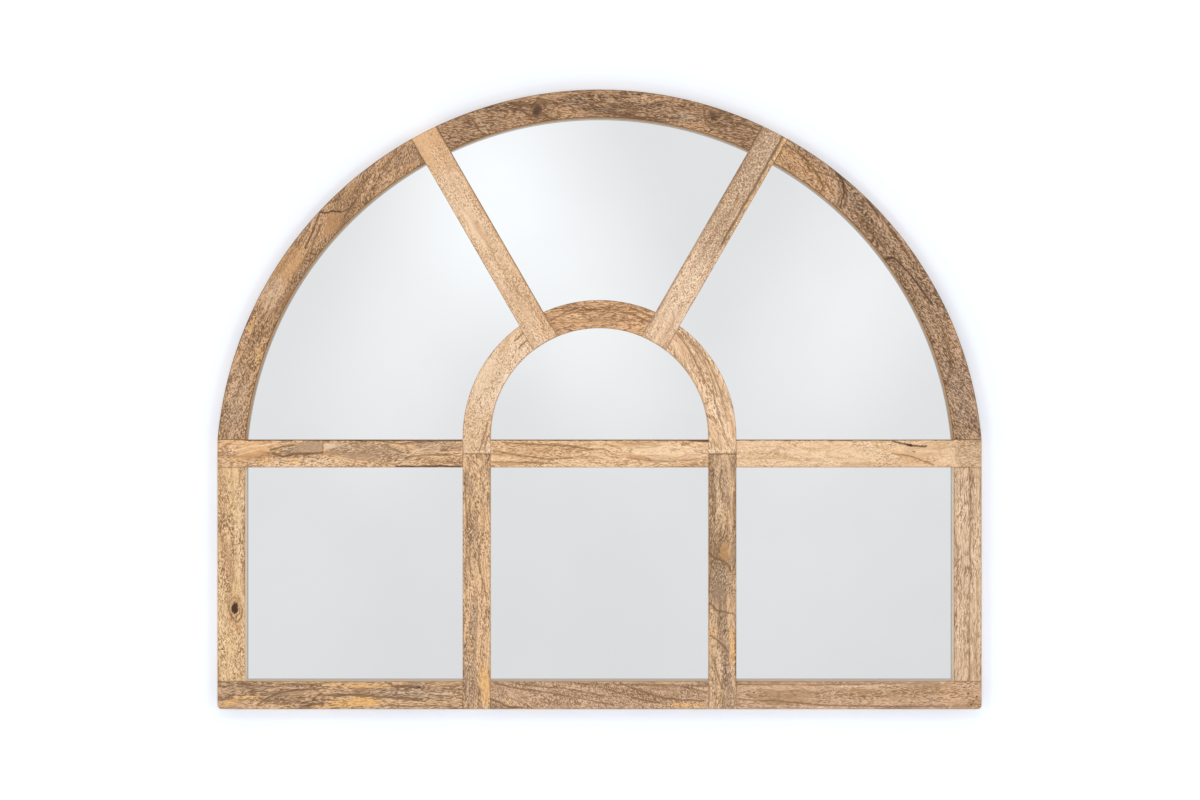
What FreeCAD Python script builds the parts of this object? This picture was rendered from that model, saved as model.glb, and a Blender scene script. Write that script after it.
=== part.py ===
"""Arched window mirror: a solid-wood window frame with seven mirror panes, hung on a wall.

X runs to the right, Y runs from the viewer towards the wall, Z runs up. Lengths are in
millimetres. The origin is the middle of the frame's bottom edge, half-way through its thickness.

The frame is eighteen flat members of one section, glued edge to edge on dowels. Each of its
seven openings has a rebate at the back that takes a mirror pane, a backing board and the
sprigs that hold them. Two strap hangers with swinging rings carry the frame on the wall.
"""
import FreeCAD
import Part
import math
import os

Vector = FreeCAD.Vector

# ---- driving dimensions: the frame seen from the front ----
overall_width = 1100.0
member_width = 40.0          # face width of every rail, stile, spoke and arch
lower_opening_height = 308.0  # between the bottom rail and the middle rail
arch_rise = 504.0            # from the middle rail's top edge to the crown
window_half_width = 157.0    # half the width of the middle openings, and the inner arch's radius
arch_leg = 4.0               # straight part of the inner arch above the middle rail
spoke_angle = 30.0           # degrees each spoke leans from upright
bottom_corner_radius = 6.0

# ---- driving dimensions: through the thickness ----
frame_thickness = 25.0
lip_thickness = 12.0         # wood in front of the panes
arris = 0.8                  # eased front edges
rebate_width = 8.0
pane_thickness = 3.0
pane_gap = 1.0               # between a pane's edge and the rebate's wall
board_thickness = 3.0
board_gap = 0.5              # between a backing board's edge and the rebate's wall

# ---- dowels and sprigs ----
dowel_diameter = 8.0
dowel_length = 24.0
dowel_chamfer = 0.8
glue_gap = 0.05              # round a dowel, a sprig or a screw in its hole
sprig_diameter = 1.6
sprig_length = 15.0
sprig_clearance = 0.05       # between a sprig and the board that it holds
straight_shares = (0.25, 0.75)            # where sprigs stand along a straight wall
curve_shares = (0.15, 0.5, 0.85)          # and along an upper opening's curved wall
crown_shares = (-0.65, 0.0, 0.65)         # and along the crown, from its middle to a spoke
window_angles = (-75.0, -45.0, 0.0, 45.0, 75.0)  # and round the arched window, from upright

# ---- strap hangers, their rings and screws ----
hanger_angle = 20.0          # degrees up round the outer arch from the arch's centre
strap_width = 14.0
strap_thickness = 1.5
strap_length = 42.0          # from the ring's axis to the strap's lower end
strap_end_radius = 5.0
ring_wire_diameter = 3.0
ring_length = 24.0           # centre line, from the axis to the far end
ring_corner_radius = 4.0
ring_side_play = 1.0         # straight bar beyond each end of the eye
ring_running_clearance = 0.08
ring_strap_gap = 0.3         # between the hanging ring and its strap
first_screw_distance = 12.0  # below the ring's axis
last_screw_margin = 8.0      # above the strap's lower end
screw_diameter = 3.4
screw_head_diameter = 6.4
screw_length = 16.0
screw_recess_width = 0.7
screw_recess_span = 3.2
screw_recess_depth = 0.8
screw_seat_clearance = 0.05

# ---- wall pads ----
pad_diameter = 12.0
pad_thickness = 3.0
pad_edge_radius = 0.8
pad_from_side = 45.0         # from the frame's side to a pad's middle

# ---- what follows from them ----
half_width = overall_width / 2
half_member = member_width / 2
front = -frame_thickness / 2
back = frame_thickness / 2
lip_back = front + lip_thickness
pane_back = lip_back + pane_thickness
board_back = pane_back + board_thickness

lower_opening_low = member_width
rail_low = lower_opening_low + lower_opening_height
rail_top = rail_low + member_width
seam_height = rail_low + half_member       # where an arch's leg stands on an inner stile
crown_height = rail_top + arch_rise

outer_radius = (half_width ** 2 + arch_rise ** 2) / (2 * arch_rise)
outer_centre = crown_height - outer_radius
outer_arch_inside = outer_radius - member_width

arch_centre = rail_top + arch_leg
inner_arch_outside = window_half_width + member_width
stile_outer = inner_arch_outside           # far side of an inner stile from the middle
side_opening = half_width - member_width   # inner side of an outer stile

edge_core = (member_width - rebate_width) / 2  # middle of the full thickness in an edge member
reach = 2 * (overall_width + crown_height)     # longer than anything in the frame

screw_distances = (first_screw_distance, strap_length - last_screw_margin)
ring_half_width = strap_width / 2 + ring_side_play + ring_corner_radius
ring_wire_radius = ring_wire_diameter / 2
eye_bore_radius = ring_wire_radius + ring_running_clearance
eye_outer_radius = eye_bore_radius + strap_thickness
ring_axis_y = back + strap_thickness + ring_strap_gap + ring_wire_radius

openings = ("upper_left", "upper_centre", "upper_right", "arch_window",
            "lower_left", "lower_centre", "lower_right")
sides = {"left": -1, "right": 1}


# ---- plain shapes ----
def block(x_span, y_span, z_span):
    """A box between three pairs of coordinates."""
    low = Vector(x_span[0], y_span[0], z_span[0])
    size = (x_span[1] - x_span[0], y_span[1] - y_span[0], z_span[1] - z_span[0])
    return Part.makeBox(size[0], size[1], size[2], low)


def disc(radius, centre_z, y_span):
    """A disc parallel to the wall, on the frame's centre line."""
    base = Vector(0, y_span[0], centre_z)
    return Part.makeCylinder(radius, y_span[1] - y_span[0], base, Vector(0, 1, 0))


def rod(middle, direction, length, radius):
    """A round rod centred on a point."""
    unit = Vector(direction).normalize()
    return Part.makeCylinder(radius, length, middle - unit * (length / 2), unit)


def above(height, y_span):
    """Everything higher than a height."""
    return block((-reach, reach), y_span, (height, reach))


def across_spoke(side, near, far, y_span, from_centre=-reach):
    """A band parallel to a spoke, between two distances from its centre line.

    Distances count away from the frame's centre line. The band starts at from_centre
    along the spoke, measured from the inner arch's centre.
    """
    x_span = (near, far) if side > 0 else (-far, -near)
    band = block(x_span, y_span, (arch_centre + from_centre, arch_centre + reach))
    band.rotate(Vector(0, 0, arch_centre), Vector(0, 1, 0), side * spoke_angle)
    return band


# ---- the seven openings, grown outwards by an amount for rebates, panes and boards ----
def inner_arch_outline(radius, y_span, low):
    """A half disc on straight legs that reach down to a height."""
    legs = block((-radius, radius), y_span, (low, arch_centre))
    return disc(radius, arch_centre, y_span).fuse(legs).common(above(low, y_span))


def lower_opening(name, grow, y_span):
    """One of the three rectangles under the middle rail."""
    x_spans = {
        "lower_left": (-side_opening, -stile_outer),
        "lower_centre": (-window_half_width, window_half_width),
        "lower_right": (stile_outer, side_opening),
    }
    low_x, high_x = x_spans[name]
    z_span = (lower_opening_low - grow, rail_low + grow)
    return block((low_x - grow, high_x + grow), y_span, z_span)


def upper_opening(name, grow, y_span):
    """One of the three openings between the outer arch and the inner one."""
    shape = disc(outer_arch_inside + grow, outer_centre, y_span)
    shape = shape.common(above(rail_top - grow, y_span))
    shape = shape.cut(inner_arch_outline(inner_arch_outside - grow, y_span, 0))
    spoke_face = half_member - grow
    if name == "upper_centre":
        for side in sides.values():
            shape = shape.common(across_spoke(side, -reach, -spoke_face, y_span))
        return shape
    side = sides[name.replace("upper_", "")]
    return shape.common(across_spoke(side, spoke_face, reach, y_span))


def opening(name, grow, y_span):
    """The prism of one opening."""
    if name.startswith("upper"):
        shape = upper_opening(name, grow, y_span)
    elif name == "arch_window":
        shape = inner_arch_outline(window_half_width + grow, y_span, rail_top - grow)
    else:
        shape = lower_opening(name, grow, y_span)
    return shape.removeSplitter()


# ---- the frame ----
def frame_slab():
    """The whole frame as one board: outline, openings, eased front edges and rebates."""
    through = (front, back)
    slab = disc(outer_radius, outer_centre, through).common(above(rail_top, through))
    lower = block((-half_width, half_width), through, (0, rail_top))
    corners = [e for e in lower.Edges if e.BoundBox.ZMax < 1e-6 and e.BoundBox.YLength > 1]
    slab = slab.fuse(lower.makeFillet(bottom_corner_radius, corners)).removeSplitter()
    for name in openings:
        slab = slab.cut(opening(name, 0, (front - 1, back + 1)))
    front_edges = [e for e in slab.Edges if e.BoundBox.YMax < front + 1e-4]
    slab = slab.makeChamfer(arris, front_edges)
    for name in openings:
        slab = slab.cut(opening(name, rebate_width, (lip_back, back + 1)))
    return slab


def member_regions():
    """The space that each member takes up, seen from the front."""
    through = (front - 1, back + 1)
    window = (-window_half_width, window_half_width)
    regions = {
        "bottom_rail_centre": block(window, through, (0, member_width)),
        "middle_rail_centre": block(window, through, (rail_low, rail_top)),
    }
    for word, side in sides.items():
        wing = sorted((side * half_width, side * stile_outer))
        outer = sorted((side * half_width, side * side_opening))
        inner = sorted((side * stile_outer, side * window_half_width))
        regions["bottom_rail_" + word] = block(wing, through, (0, member_width))
        regions["middle_rail_" + word] = block(wing, through, (rail_low, rail_top))
        regions["outer_stile_" + word] = block(outer, through, (lower_opening_low, rail_low))
        regions["inner_stile_" + word] = block(inner, through, (0, seam_height))
        regions["spoke_" + word] = across_spoke(
            side, -half_member, half_member, through, window_half_width / 2)
    inner = inner_arch_outline(inner_arch_outside, through, seam_height)
    inner = inner.cut(regions["middle_rail_centre"])
    outer = above(rail_top, through).cut(disc(outer_arch_inside, outer_centre, through))
    for part, whole in (("inner_arch", inner), ("outer_arch", outer)):
        top = whole
        for word, side in sides.items():
            beyond = across_spoke(side, half_member, reach, through)
            regions[part + "_" + word] = whole.common(beyond)
            top = top.common(across_spoke(side, -reach, -half_member, through))
        regions[part + "_top"] = top
    return regions


def frame_members():
    """Cuts the slab into its eighteen members."""
    slab = frame_slab()
    return {name: slab.common(region) for name, region in member_regions().items()}


# ---- dowels ----
def point_on_spoke(side, across, centre_z, radius):
    """Where a line parallel to a spoke meets a circle on the frame's centre line."""
    lean = math.radians(spoke_angle)
    start_x = across * math.cos(lean)
    start_z = arch_centre - across * math.sin(lean) - centre_z
    half_b = start_x * math.sin(lean) + start_z * math.cos(lean)
    c = start_x ** 2 + start_z ** 2 - radius ** 2
    along = -half_b + math.sqrt(half_b ** 2 - c)
    x = side * (start_x + along * math.sin(lean))
    return Vector(x, 0, centre_z + start_z + along * math.cos(lean))


def spoke_normal(side):
    """The direction square to a spoke, away from the frame's centre line."""
    lean = math.radians(spoke_angle)
    return Vector(side * math.cos(lean), 0, -math.sin(lean))


def dowel_places():
    """Each dowel's middle and direction, with the two members it joins."""
    up = Vector(0, 0, 1)
    along = Vector(1, 0, 0)
    outer_middle = outer_radius - edge_core
    inner_middle = inner_arch_outside - half_member
    from_seam = (half_member - rebate_width) / 2
    places = []
    for word, side in sides.items():
        normal = spoke_normal(side)
        spoke = "spoke_" + word
        for across, end in ((half_member, word), (-half_member, "top")):
            at_outer = point_on_spoke(side, across, outer_centre, outer_middle)
            at_inner = point_on_spoke(side, across, arch_centre, inner_middle)
            places.append((at_outer, normal, "outer_arch_" + end, spoke))
            places.append((at_inner, normal, "inner_arch_" + end, spoke))
        edge_x = side * (half_width - edge_core)
        rail = "middle_rail_" + word
        stile = "outer_stile_" + word
        inner_stile = "inner_stile_" + word
        leg = "inner_arch_" + word
        places.append((Vector(edge_x, 0, rail_top), up, "outer_arch_" + word, rail))
        places.append((Vector(edge_x, 0, rail_low), up, stile, rail))
        places.append((Vector(edge_x, 0, member_width), up, stile, "bottom_rail_" + word))
        leg_x = side * (stile_outer - half_member)
        places.append((Vector(leg_x, 0, seam_height), up, leg, inner_stile))
        for x, end in ((side * stile_outer, word), (side * window_half_width, "centre")):
            rail = "middle_rail_" + end
            low_rail = "bottom_rail_" + end
            places.append((Vector(x, 0, seam_height + from_seam), along, rail, leg))
            places.append((Vector(x, 0, seam_height - from_seam), along, rail, inner_stile))
            places.append((Vector(x, 0, edge_core), along, low_rail, inner_stile))
    return places


def fit_dowels(members):
    """Drills every dowel's hole in its two members and returns the dowels."""
    dowels = []
    radius = dowel_diameter / 2
    for middle, direction, first, second in dowel_places():
        hole = rod(middle, direction, dowel_length + 2 * glue_gap, radius + glue_gap)
        for name in (first, second):
            members[name] = members[name].cut(hole)
        dowel = rod(middle, direction, dowel_length, radius)
        ends = [e for e in dowel.Edges if e.Closed]
        dowels.append(dowel.makeChamfer(dowel_chamfer, ends))
    return dowels


# ---- sprigs: headless pins in the rebate's wall that hold a board in place ----
def rectangle_stations(name):
    """Two sprigs on each side of a lower opening: its wall point and outward direction."""
    box = opening(name, rebate_width, (lip_back, back)).BoundBox
    stations = []
    for share in straight_shares:
        x = box.XMin + share * box.XLength
        z = box.ZMin + share * box.ZLength
        stations.append((Vector(x, 0, box.ZMin), Vector(0, 0, -1)))
        stations.append((Vector(x, 0, box.ZMax), Vector(0, 0, 1)))
        stations.append((Vector(box.XMin, 0, z), Vector(-1, 0, 0)))
        stations.append((Vector(box.XMax, 0, z), Vector(1, 0, 0)))
    return stations


def round_stations(centre_z, radius, inward, angles):
    """Sprigs on a round wall, at angles in degrees from upright."""
    stations = []
    for angle in angles:
        turn = math.radians(angle)
        outward = Vector(math.sin(turn), 0, math.cos(turn))
        point = Vector(0, 0, centre_z) + outward * radius
        stations.append((point, outward * (-1 if inward else 1)))
    return stations


def spoke_stations(side, way):
    """Two sprigs on one long side of a spoke: way is 1 on its outer side, -1 on its inner."""
    across = way * (half_member - rebate_width)
    low = point_on_spoke(side, across, arch_centre, inner_arch_outside)
    high = point_on_spoke(side, across, outer_centre, outer_arch_inside)
    into_spoke = spoke_normal(side) * -way
    return [(low + (high - low) * share, into_spoke) for share in straight_shares]


def bearing_of_spoke(way):
    """Degrees from upright to a spoke's rebate wall on the outer arch's, from its centre."""
    across = way * (half_member - rebate_width)
    corner = point_on_spoke(1, across, outer_centre, outer_arch_inside + rebate_width)
    return math.degrees(math.atan2(corner.x, corner.z - outer_centre))


def rail_station(x):
    """A sprig on the middle rail's upper rebate wall."""
    return Vector(x, 0, rail_top - rebate_width), Vector(0, 0, -1)


def sprig_stations(name):
    """Every sprig round one opening."""
    outer_wall = outer_arch_inside + rebate_width
    inner_wall = inner_arch_outside - rebate_width
    window_wall = window_half_width + rebate_width
    if name.startswith("lower"):
        return rectangle_stations(name)
    if name == "arch_window":
        stations = round_stations(arch_centre, window_wall, False, window_angles)
        return stations + [rail_station(side * window_half_width / 2) for side in sides.values()]
    if name == "upper_centre":
        end = bearing_of_spoke(-1)
        angles = [end * share for share in crown_shares]
        stations = round_stations(outer_centre, outer_wall, False, angles)
        stations += round_stations(arch_centre, inner_wall, True, [0])
        return stations + spoke_stations(-1, -1) + spoke_stations(1, -1)
    side = sides[name.replace("upper_", "")]
    start = bearing_of_spoke(1)
    foot = math.degrees(math.acos((rail_top - outer_centre) / outer_wall))
    angles = [side * (start + (foot - start) * share) for share in curve_shares]
    stations = round_stations(outer_centre, outer_wall, False, angles)
    stations += round_stations(arch_centre, inner_wall, True, [side * (90 + spoke_angle) / 2])
    stations.append(rail_station(side * (stile_outer + side_opening) / 2))
    return stations + spoke_stations(side, 1)


def fit_sprigs(members):
    """Drives every sprig half-way into the member behind its wall and returns the sprigs."""
    sprigs = []
    radius = sprig_diameter / 2
    height = Vector(0, board_back + sprig_clearance + radius, 0)
    for name in openings:
        for wall_point, outward in sprig_stations(name):
            middle = wall_point + height
            sprigs.append(rod(middle, outward, sprig_length, radius))
            hole = rod(middle, outward, sprig_length + 2 * glue_gap, radius + glue_gap)
            for member in members:
                if members[member].BoundBox.intersect(hole.BoundBox):
                    members[member] = members[member].cut(hole)
    return sprigs


# ---- panes and boards ----
def pane(name):
    """One mirror pane against the lip."""
    return opening(name, rebate_width - pane_gap, (lip_back, pane_back))


def backboard(name):
    """One backing board against its pane."""
    return opening(name, rebate_width - board_gap, (pane_back, board_back))


# ---- hangers ----
def hanger_place(side):
    """The middle of a hanger's eye: its strap is centred on the outer arch's flat back."""
    middle_radius = outer_radius - edge_core
    turn = math.radians(hanger_angle)
    x = side * middle_radius * math.cos(turn)
    strap_middle = outer_centre + middle_radius * math.sin(turn)
    return Vector(x, ring_axis_y, strap_middle + strap_length / 2)


def screw_axes(side):
    """Where each of a hanger's screws meets the strap's outer face."""
    eye = hanger_place(side)
    face = back + strap_thickness
    return [Vector(eye.x, face, eye.z - distance) for distance in screw_distances]


def screw_body(head_point, growth):
    """A countersunk screw without its recess, grown for the hole that it goes in."""
    head_radius = screw_head_diameter / 2 + growth
    shank_radius = screw_diameter / 2 + growth
    head_depth = head_radius - shank_radius
    inward = Vector(0, -1, 0)
    head = Part.makeCone(head_radius, shank_radius, head_depth, head_point, inward)
    shank_start = head_point + inward * head_depth
    tip_length = shank_radius
    shank_length = screw_length + growth - head_depth - tip_length
    shank = Part.makeCylinder(shank_radius, shank_length, shank_start, inward)
    tip_start = shank_start + inward * shank_length
    tip = Part.makeCone(shank_radius, shank_radius / 4, tip_length, tip_start, inward)
    return head.fuse([shank, tip]).removeSplitter()


def screw(head_point):
    """A countersunk screw with a cross recess."""
    body = screw_body(head_point, 0)
    half_span = screw_recess_span / 2
    half_slot = screw_recess_width / 2
    y_span = (head_point.y - screw_recess_depth, head_point.y + 1)
    wide = (head_point.x - half_span, head_point.x + half_span)
    narrow = (head_point.x - half_slot, head_point.x + half_slot)
    tall = (head_point.z - half_span, head_point.z + half_span)
    short = (head_point.z - half_slot, head_point.z + half_slot)
    body = body.cut(block(wide, y_span, short))
    return body.cut(block(narrow, y_span, tall))


def strap(side):
    """A strap hanger: a flat tongue with two countersunk holes and a rolled eye."""
    eye = hanger_place(side)
    half = strap_width / 2
    z_span = (eye.z - strap_length, eye.z)
    tongue = block((eye.x - half, eye.x + half), (back, back + strap_thickness), z_span)
    low_corners = [e for e in tongue.Edges
                   if e.BoundBox.ZMax < z_span[0] + 1e-6 and e.BoundBox.YLength > 0.1]
    tongue = tongue.makeFillet(strap_end_radius, low_corners)
    along = Vector(1, 0, 0)
    tube = rod(eye, along, strap_width, eye_outer_radius)
    bore = rod(eye, along, strap_width + 2, eye_bore_radius)
    body = tongue.fuse(tube).cut(bore)
    for head_point in screw_axes(side):
        body = body.cut(screw_body(head_point, screw_seat_clearance))
    return body


def wire_bend(centre, start, angle):
    """A round bend of the ring's wire in the ring's plane, from a start point."""
    radial = (start - centre).normalize()
    tangent = radial.cross(Vector(0, 1, 0))
    circle = Part.makeCircle(ring_wire_radius, start, tangent)
    section = Part.Face(Part.Wire(circle))
    return section.revolve(centre, Vector(0, 1, 0), angle)


def ring(side):
    """A hanging ring: a bar in the strap's eye, two bent corners, two legs and a round end."""
    eye = hanger_place(side)
    right = Vector(1, 0, 0)
    down = Vector(0, 0, -1)
    bar_half = ring_half_width - ring_corner_radius
    leg_length = ring_length - ring_half_width - ring_corner_radius
    pieces = [rod(eye, right, 2 * bar_half, ring_wire_radius)]
    for way in (-1, 1):
        bar_end = eye + right * (way * bar_half)
        pieces.append(wire_bend(bar_end + down * ring_corner_radius, bar_end, way * 90))
        leg_top = eye + right * (way * ring_half_width) + down * ring_corner_radius
        leg_middle = leg_top + down * (leg_length / 2)
        pieces.append(rod(leg_middle, down, leg_length, ring_wire_radius))
    end_centre = eye + down * (ring_length - ring_half_width)
    end_start = end_centre + right * ring_half_width
    pieces.append(wire_bend(end_centre, end_start, 180))
    return pieces[0].fuse(pieces[1:]).removeSplitter()


# ---- wall pads ----
def wall_pad(side):
    """A round rubber pad on the back of the bottom rail."""
    base = Vector(side * (half_width - pad_from_side), back, edge_core)
    pad = Part.makeCylinder(pad_diameter / 2, pad_thickness, base, Vector(0, 1, 0))
    rim = [e for e in pad.Edges if e.Closed and e.BoundBox.YMin > back + pad_thickness / 2]
    return pad.makeFillet(pad_edge_radius, rim)


# ---- the whole mirror ----
def build_nodes():
    """Every node's solid or group of solids, by name."""
    members = frame_members()
    dowels = fit_dowels(members)
    sprigs = fit_sprigs(members)
    nodes = {}
    screws = []
    for word, side in sides.items():
        screws += [screw(head_point) for head_point in screw_axes(side)]
        carrier = "outer_arch_" + word
        for head_point in screw_axes(side):
            hole = screw_body(head_point, glue_gap)
            members[carrier] = members[carrier].cut(hole)
        nodes["hanger_strap_" + word] = strap(side)
        nodes["hanger_ring_" + word] = ring(side)
        nodes["wall_pad_" + word] = wall_pad(side)
    for name in openings:
        nodes["pane_" + name] = pane(name)
        nodes["backboard_" + name] = backboard(name)
    nodes["joint_dowels"] = Part.makeCompound(dowels)
    nodes["backboard_sprigs"] = Part.makeCompound(sprigs)
    nodes["hanger_screws"] = Part.makeCompound(screws)
    nodes.update(members)
    return nodes


os.makedirs("parts", exist_ok=True)
for node_name, node_shape in build_nodes().items():
    node_shape.exportStep("parts/" + node_name + ".step")
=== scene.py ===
"""Looks of the arched window mirror: mango wood, silvered panes, hardboard and the hangers.

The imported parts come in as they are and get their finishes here. X runs to the right, Y from
the viewer towards the wall, Z up, in metres. Sizes of patterns and marks are in millimetres.
"""
import collections
import math

import bpy
import numpy as np
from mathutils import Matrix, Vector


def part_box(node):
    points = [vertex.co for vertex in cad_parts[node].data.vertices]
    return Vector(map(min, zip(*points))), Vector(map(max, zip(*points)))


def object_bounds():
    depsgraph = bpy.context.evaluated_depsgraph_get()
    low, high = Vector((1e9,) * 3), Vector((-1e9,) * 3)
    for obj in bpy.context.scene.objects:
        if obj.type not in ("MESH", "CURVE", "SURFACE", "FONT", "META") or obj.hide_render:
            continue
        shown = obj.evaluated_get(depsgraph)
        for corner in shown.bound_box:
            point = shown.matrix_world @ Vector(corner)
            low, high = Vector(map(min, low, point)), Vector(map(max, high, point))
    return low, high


bl_info = {
    "name": "Arched window mirror",
    "version": (1, 0, 0),
    "blender": (4, 5, 0),
    "location": "3D View > Sidebar > Mirror",
    "description": "Finishes for a seven-pane window mirror in solid wood",
    "category": "Object",
}

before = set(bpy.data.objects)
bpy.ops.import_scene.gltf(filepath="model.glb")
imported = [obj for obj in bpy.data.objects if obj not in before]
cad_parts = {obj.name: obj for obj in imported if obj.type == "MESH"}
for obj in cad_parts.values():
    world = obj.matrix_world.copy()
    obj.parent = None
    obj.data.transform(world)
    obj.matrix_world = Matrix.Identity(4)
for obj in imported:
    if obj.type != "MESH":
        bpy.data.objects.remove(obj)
CAD_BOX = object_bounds()
MM = 0.001
SIDES = {"left": -1, "right": 1}
SPOKE_LEAN = math.radians(30)    # each spoke's lean from upright
PANES = ("upper_left", "upper_centre", "upper_right", "arch_window",
         "lower_left", "lower_centre", "lower_right")


# ---- colour and nodes ----
def linear(code):
    """An sRGB hex colour as linear red, green and blue."""
    values = []
    for start in (0, 2, 4):
        share = int(code[start:start + 2], 16) / 255
        dark_part = share / 12.92
        bright_part = ((share + 0.055) / 1.055) ** 2.4
        values.append(dark_part if share <= 0.04045 else bright_part)
    return tuple(values)


def opaque(colour):
    """A colour with its alpha, as a node's colour input takes it."""
    return (*colour, 1.0)


def add(tree, kind, inputs=None, out=0, **settings):
    """Adds a node with its settings and links, and returns one of its outputs.

    An input's value is a number, a vector, or another node's output to link to.
    """
    node = tree.nodes.new("ShaderNode" + kind)
    for name, value in settings.items():
        setattr(node, name, value)
    for name, value in (inputs or {}).items():
        if isinstance(value, bpy.types.NodeSocket):
            tree.links.new(value, node.inputs[name])
        else:
            node.inputs[name].default_value = value
    return node.outputs[out] if node.outputs else node


def start_material(name):
    """An empty material and its tree."""
    material = bpy.data.materials.new(name)
    material.use_nodes = True
    material.node_tree.nodes.clear()
    return material, material.node_tree


def close_material(tree, **values):
    """Ends a tree in one shader. Words with underscores name the shader's inputs."""
    inputs = {name.replace("_", " "): value for name, value in values.items()}
    shader = add(tree, "BsdfPrincipled", inputs)
    add(tree, "OutputMaterial", {"Surface": shader})


def blend_colour(tree, share, under, over):
    """Lays one colour over another by a share."""
    inputs = {0: share}
    for place, colour in ((6, under), (7, over)):
        inputs[place] = colour if isinstance(colour, bpy.types.NodeSocket) else opaque(colour)
    return add(tree, "Mix", inputs, out=2, data_type="RGBA")


def step_between(tree, value, low, high):
    """0 below the low value, 1 above the high one, and a smooth rise between; or a fall."""
    rise = {"Value": value, "From Min": low, "From Max": high}
    if low > high:
        rise = {"Value": value, "From Min": high, "From Max": low, "To Min": 1.0, "To Max": 0.0}
    return add(tree, "MapRange", rise, interpolation_type="SMOOTHSTEP")


def combine(tree, operation, values):
    """Combines values one after another, and gives None where there are none."""
    result = None
    for value in values:
        if result is None:
            result = value
        else:
            result = add(tree, "Math", {0: result, 1: value}, operation=operation)
    return result


def product(tree, *values):
    """Several shares multiplied."""
    return combine(tree, "MULTIPLY", values)


def stirred(tree, spot, place, reach):
    """A point moved by up to about a third of the reach, as the noise at a place says."""
    shift = add(tree, "TexNoise", {"Vector": place, "Scale": 1, "Detail": 2}, out="Color")
    shift = add(tree, "VectorMath", {0: shift, 1: (0.5, 0.5, 0.5)}, operation="SUBTRACT")
    shift = add(tree, "VectorMath", {0: shift, "Scale": reach}, operation="SCALE")
    return add(tree, "VectorMath", {0: spot, 1: shift}, operation="ADD")


def wear(node, material):
    """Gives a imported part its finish."""
    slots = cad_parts[node].data.materials
    slots.clear()
    slots.append(material)


# ---- the frame's plan, measured from the parts ----
Plan = collections.namedtuple(
    "Plan", "half_width member rail_top seam window stile_outer arch_centre outer_centre "
    "outer_radius front")
# a straight wall passes through a point and faces inwards; a round one has a centre height, a
# radius, and 1 where the piece is inside the circle or -1 where it is outside
Straight = collections.namedtuple("Straight", "x z inward_x inward_z")
Round = collections.namedtuple("Round", "z radius way")


def measure_plan():
    """Reads the frame's own sizes off its members, in metres."""
    low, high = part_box("middle_rail_centre")
    far_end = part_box("middle_rail_right")[1]
    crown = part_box("outer_arch_top")[1].z
    member = high.z - low.z
    window = high.x
    inner_outside = window + member
    arch_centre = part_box("inner_arch_top")[1].z - inner_outside
    rise = crown - high.z
    outer_radius = (far_end.x ** 2 + rise ** 2) / (2 * rise)
    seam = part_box("inner_stile_left")[1].z
    return Plan(far_end.x, member, high.z, seam, window, inner_outside, arch_centre,
                crown - outer_radius, outer_radius, low.y)


PLAN = measure_plan()


def box_walls(low_x, high_x, low_z, high_z):
    """The four walls of a rectangle."""
    return [Straight(low_x, low_z, 1, 0), Straight(high_x, high_z, -1, 0),
            Straight(low_x, low_z, 0, 1), Straight(high_x, high_z, 0, -1)]


def spoke_wall(side, across, way):
    """A wall parallel to a spoke, and the piece lies further from the middle where way is 1."""
    out_x = side * math.cos(SPOKE_LEAN)
    out_z = -math.sin(SPOKE_LEAN)
    return Straight(across * out_x, PLAN.arch_centre + across * out_z, way * out_x, way * out_z)


def member_walls(name):
    """The outline of a frame member seen from the front."""
    outer = PLAN.outer_radius
    half = PLAN.member / 2
    ring = [Round(PLAN.outer_centre, outer, 1), Round(PLAN.outer_centre, outer - PLAN.member, -1)]
    small_ring = [Round(PLAN.arch_centre, PLAN.stile_outer, 1),
                  Round(PLAN.arch_centre, PLAN.window, -1)]
    part, word = name.rsplit("_", 1)
    side = SIDES.get(word, 0)
    if part == "spoke":
        ends = [ring[0], small_ring[1]]
        return ends + [spoke_wall(side, -half, 1), spoke_wall(side, half, -1)]
    if part.endswith("arch"):
        rings = ring if part == "outer_arch" else small_ring
        foot = PLAN.rail_top if part == "outer_arch" else PLAN.seam
        if side:
            return rings + [spoke_wall(side, half, 1), Straight(0, foot, 0, 1)]
        return rings + [spoke_wall(side, -half, -1) for side in SIDES.values()]
    low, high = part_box(name)
    return box_walls(low.x, high.x, low.z, high.z)


def outline_walls(name):
    """The mirror's own outside, where a frame member reaches it."""
    if name.startswith(("outer_arch", "inner_arch", "spoke")):
        return [Round(PLAN.outer_centre, PLAN.outer_radius, 1)]
    wide = PLAN.half_width
    return [Straight(-wide, 0, 1, 0), Straight(wide, 0, -1, 0), Straight(0, 0, 0, 1)]


def lip_shade_walls(name):
    """The parts of an opening's outline where the outer frame's walls show beside the pane, and
    where the pane gets a painted line of reflected shade.
    """
    if name == "arch_window":
        return []
    if name.startswith("upper"):
        return [Round(PLAN.outer_centre, PLAN.outer_radius - PLAN.member, 1)]
    side = SIDES.get(name.rsplit("_", 1)[1], 0)
    walls = [Straight(0, PLAN.member, 0, 1)]
    if side:
        walls.append(Straight(side * (PLAN.half_width - PLAN.member), 0, -side, 0))
    return walls


def wall_gap(tree, flat, wall):
    """Metres from one wall, for a point without its depth."""
    if isinstance(wall, Straight):
        way = (wall.inward_x, 0, wall.inward_z)
        start = wall.x * wall.inward_x + wall.z * wall.inward_z
        along = add(tree, "VectorMath", {0: flat, 1: way}, out="Value", operation="DOT_PRODUCT")
        return add(tree, "Math", {0: along, 1: start}, operation="SUBTRACT")
    centre = (0, 0, wall.z)
    reach = add(tree, "VectorMath", {0: flat, 1: centre}, out="Value", operation="DISTANCE")
    inputs = {0: wall.radius, 1: reach} if wall.way > 0 else {0: reach, 1: wall.radius}
    return add(tree, "Math", inputs, operation="SUBTRACT")


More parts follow.
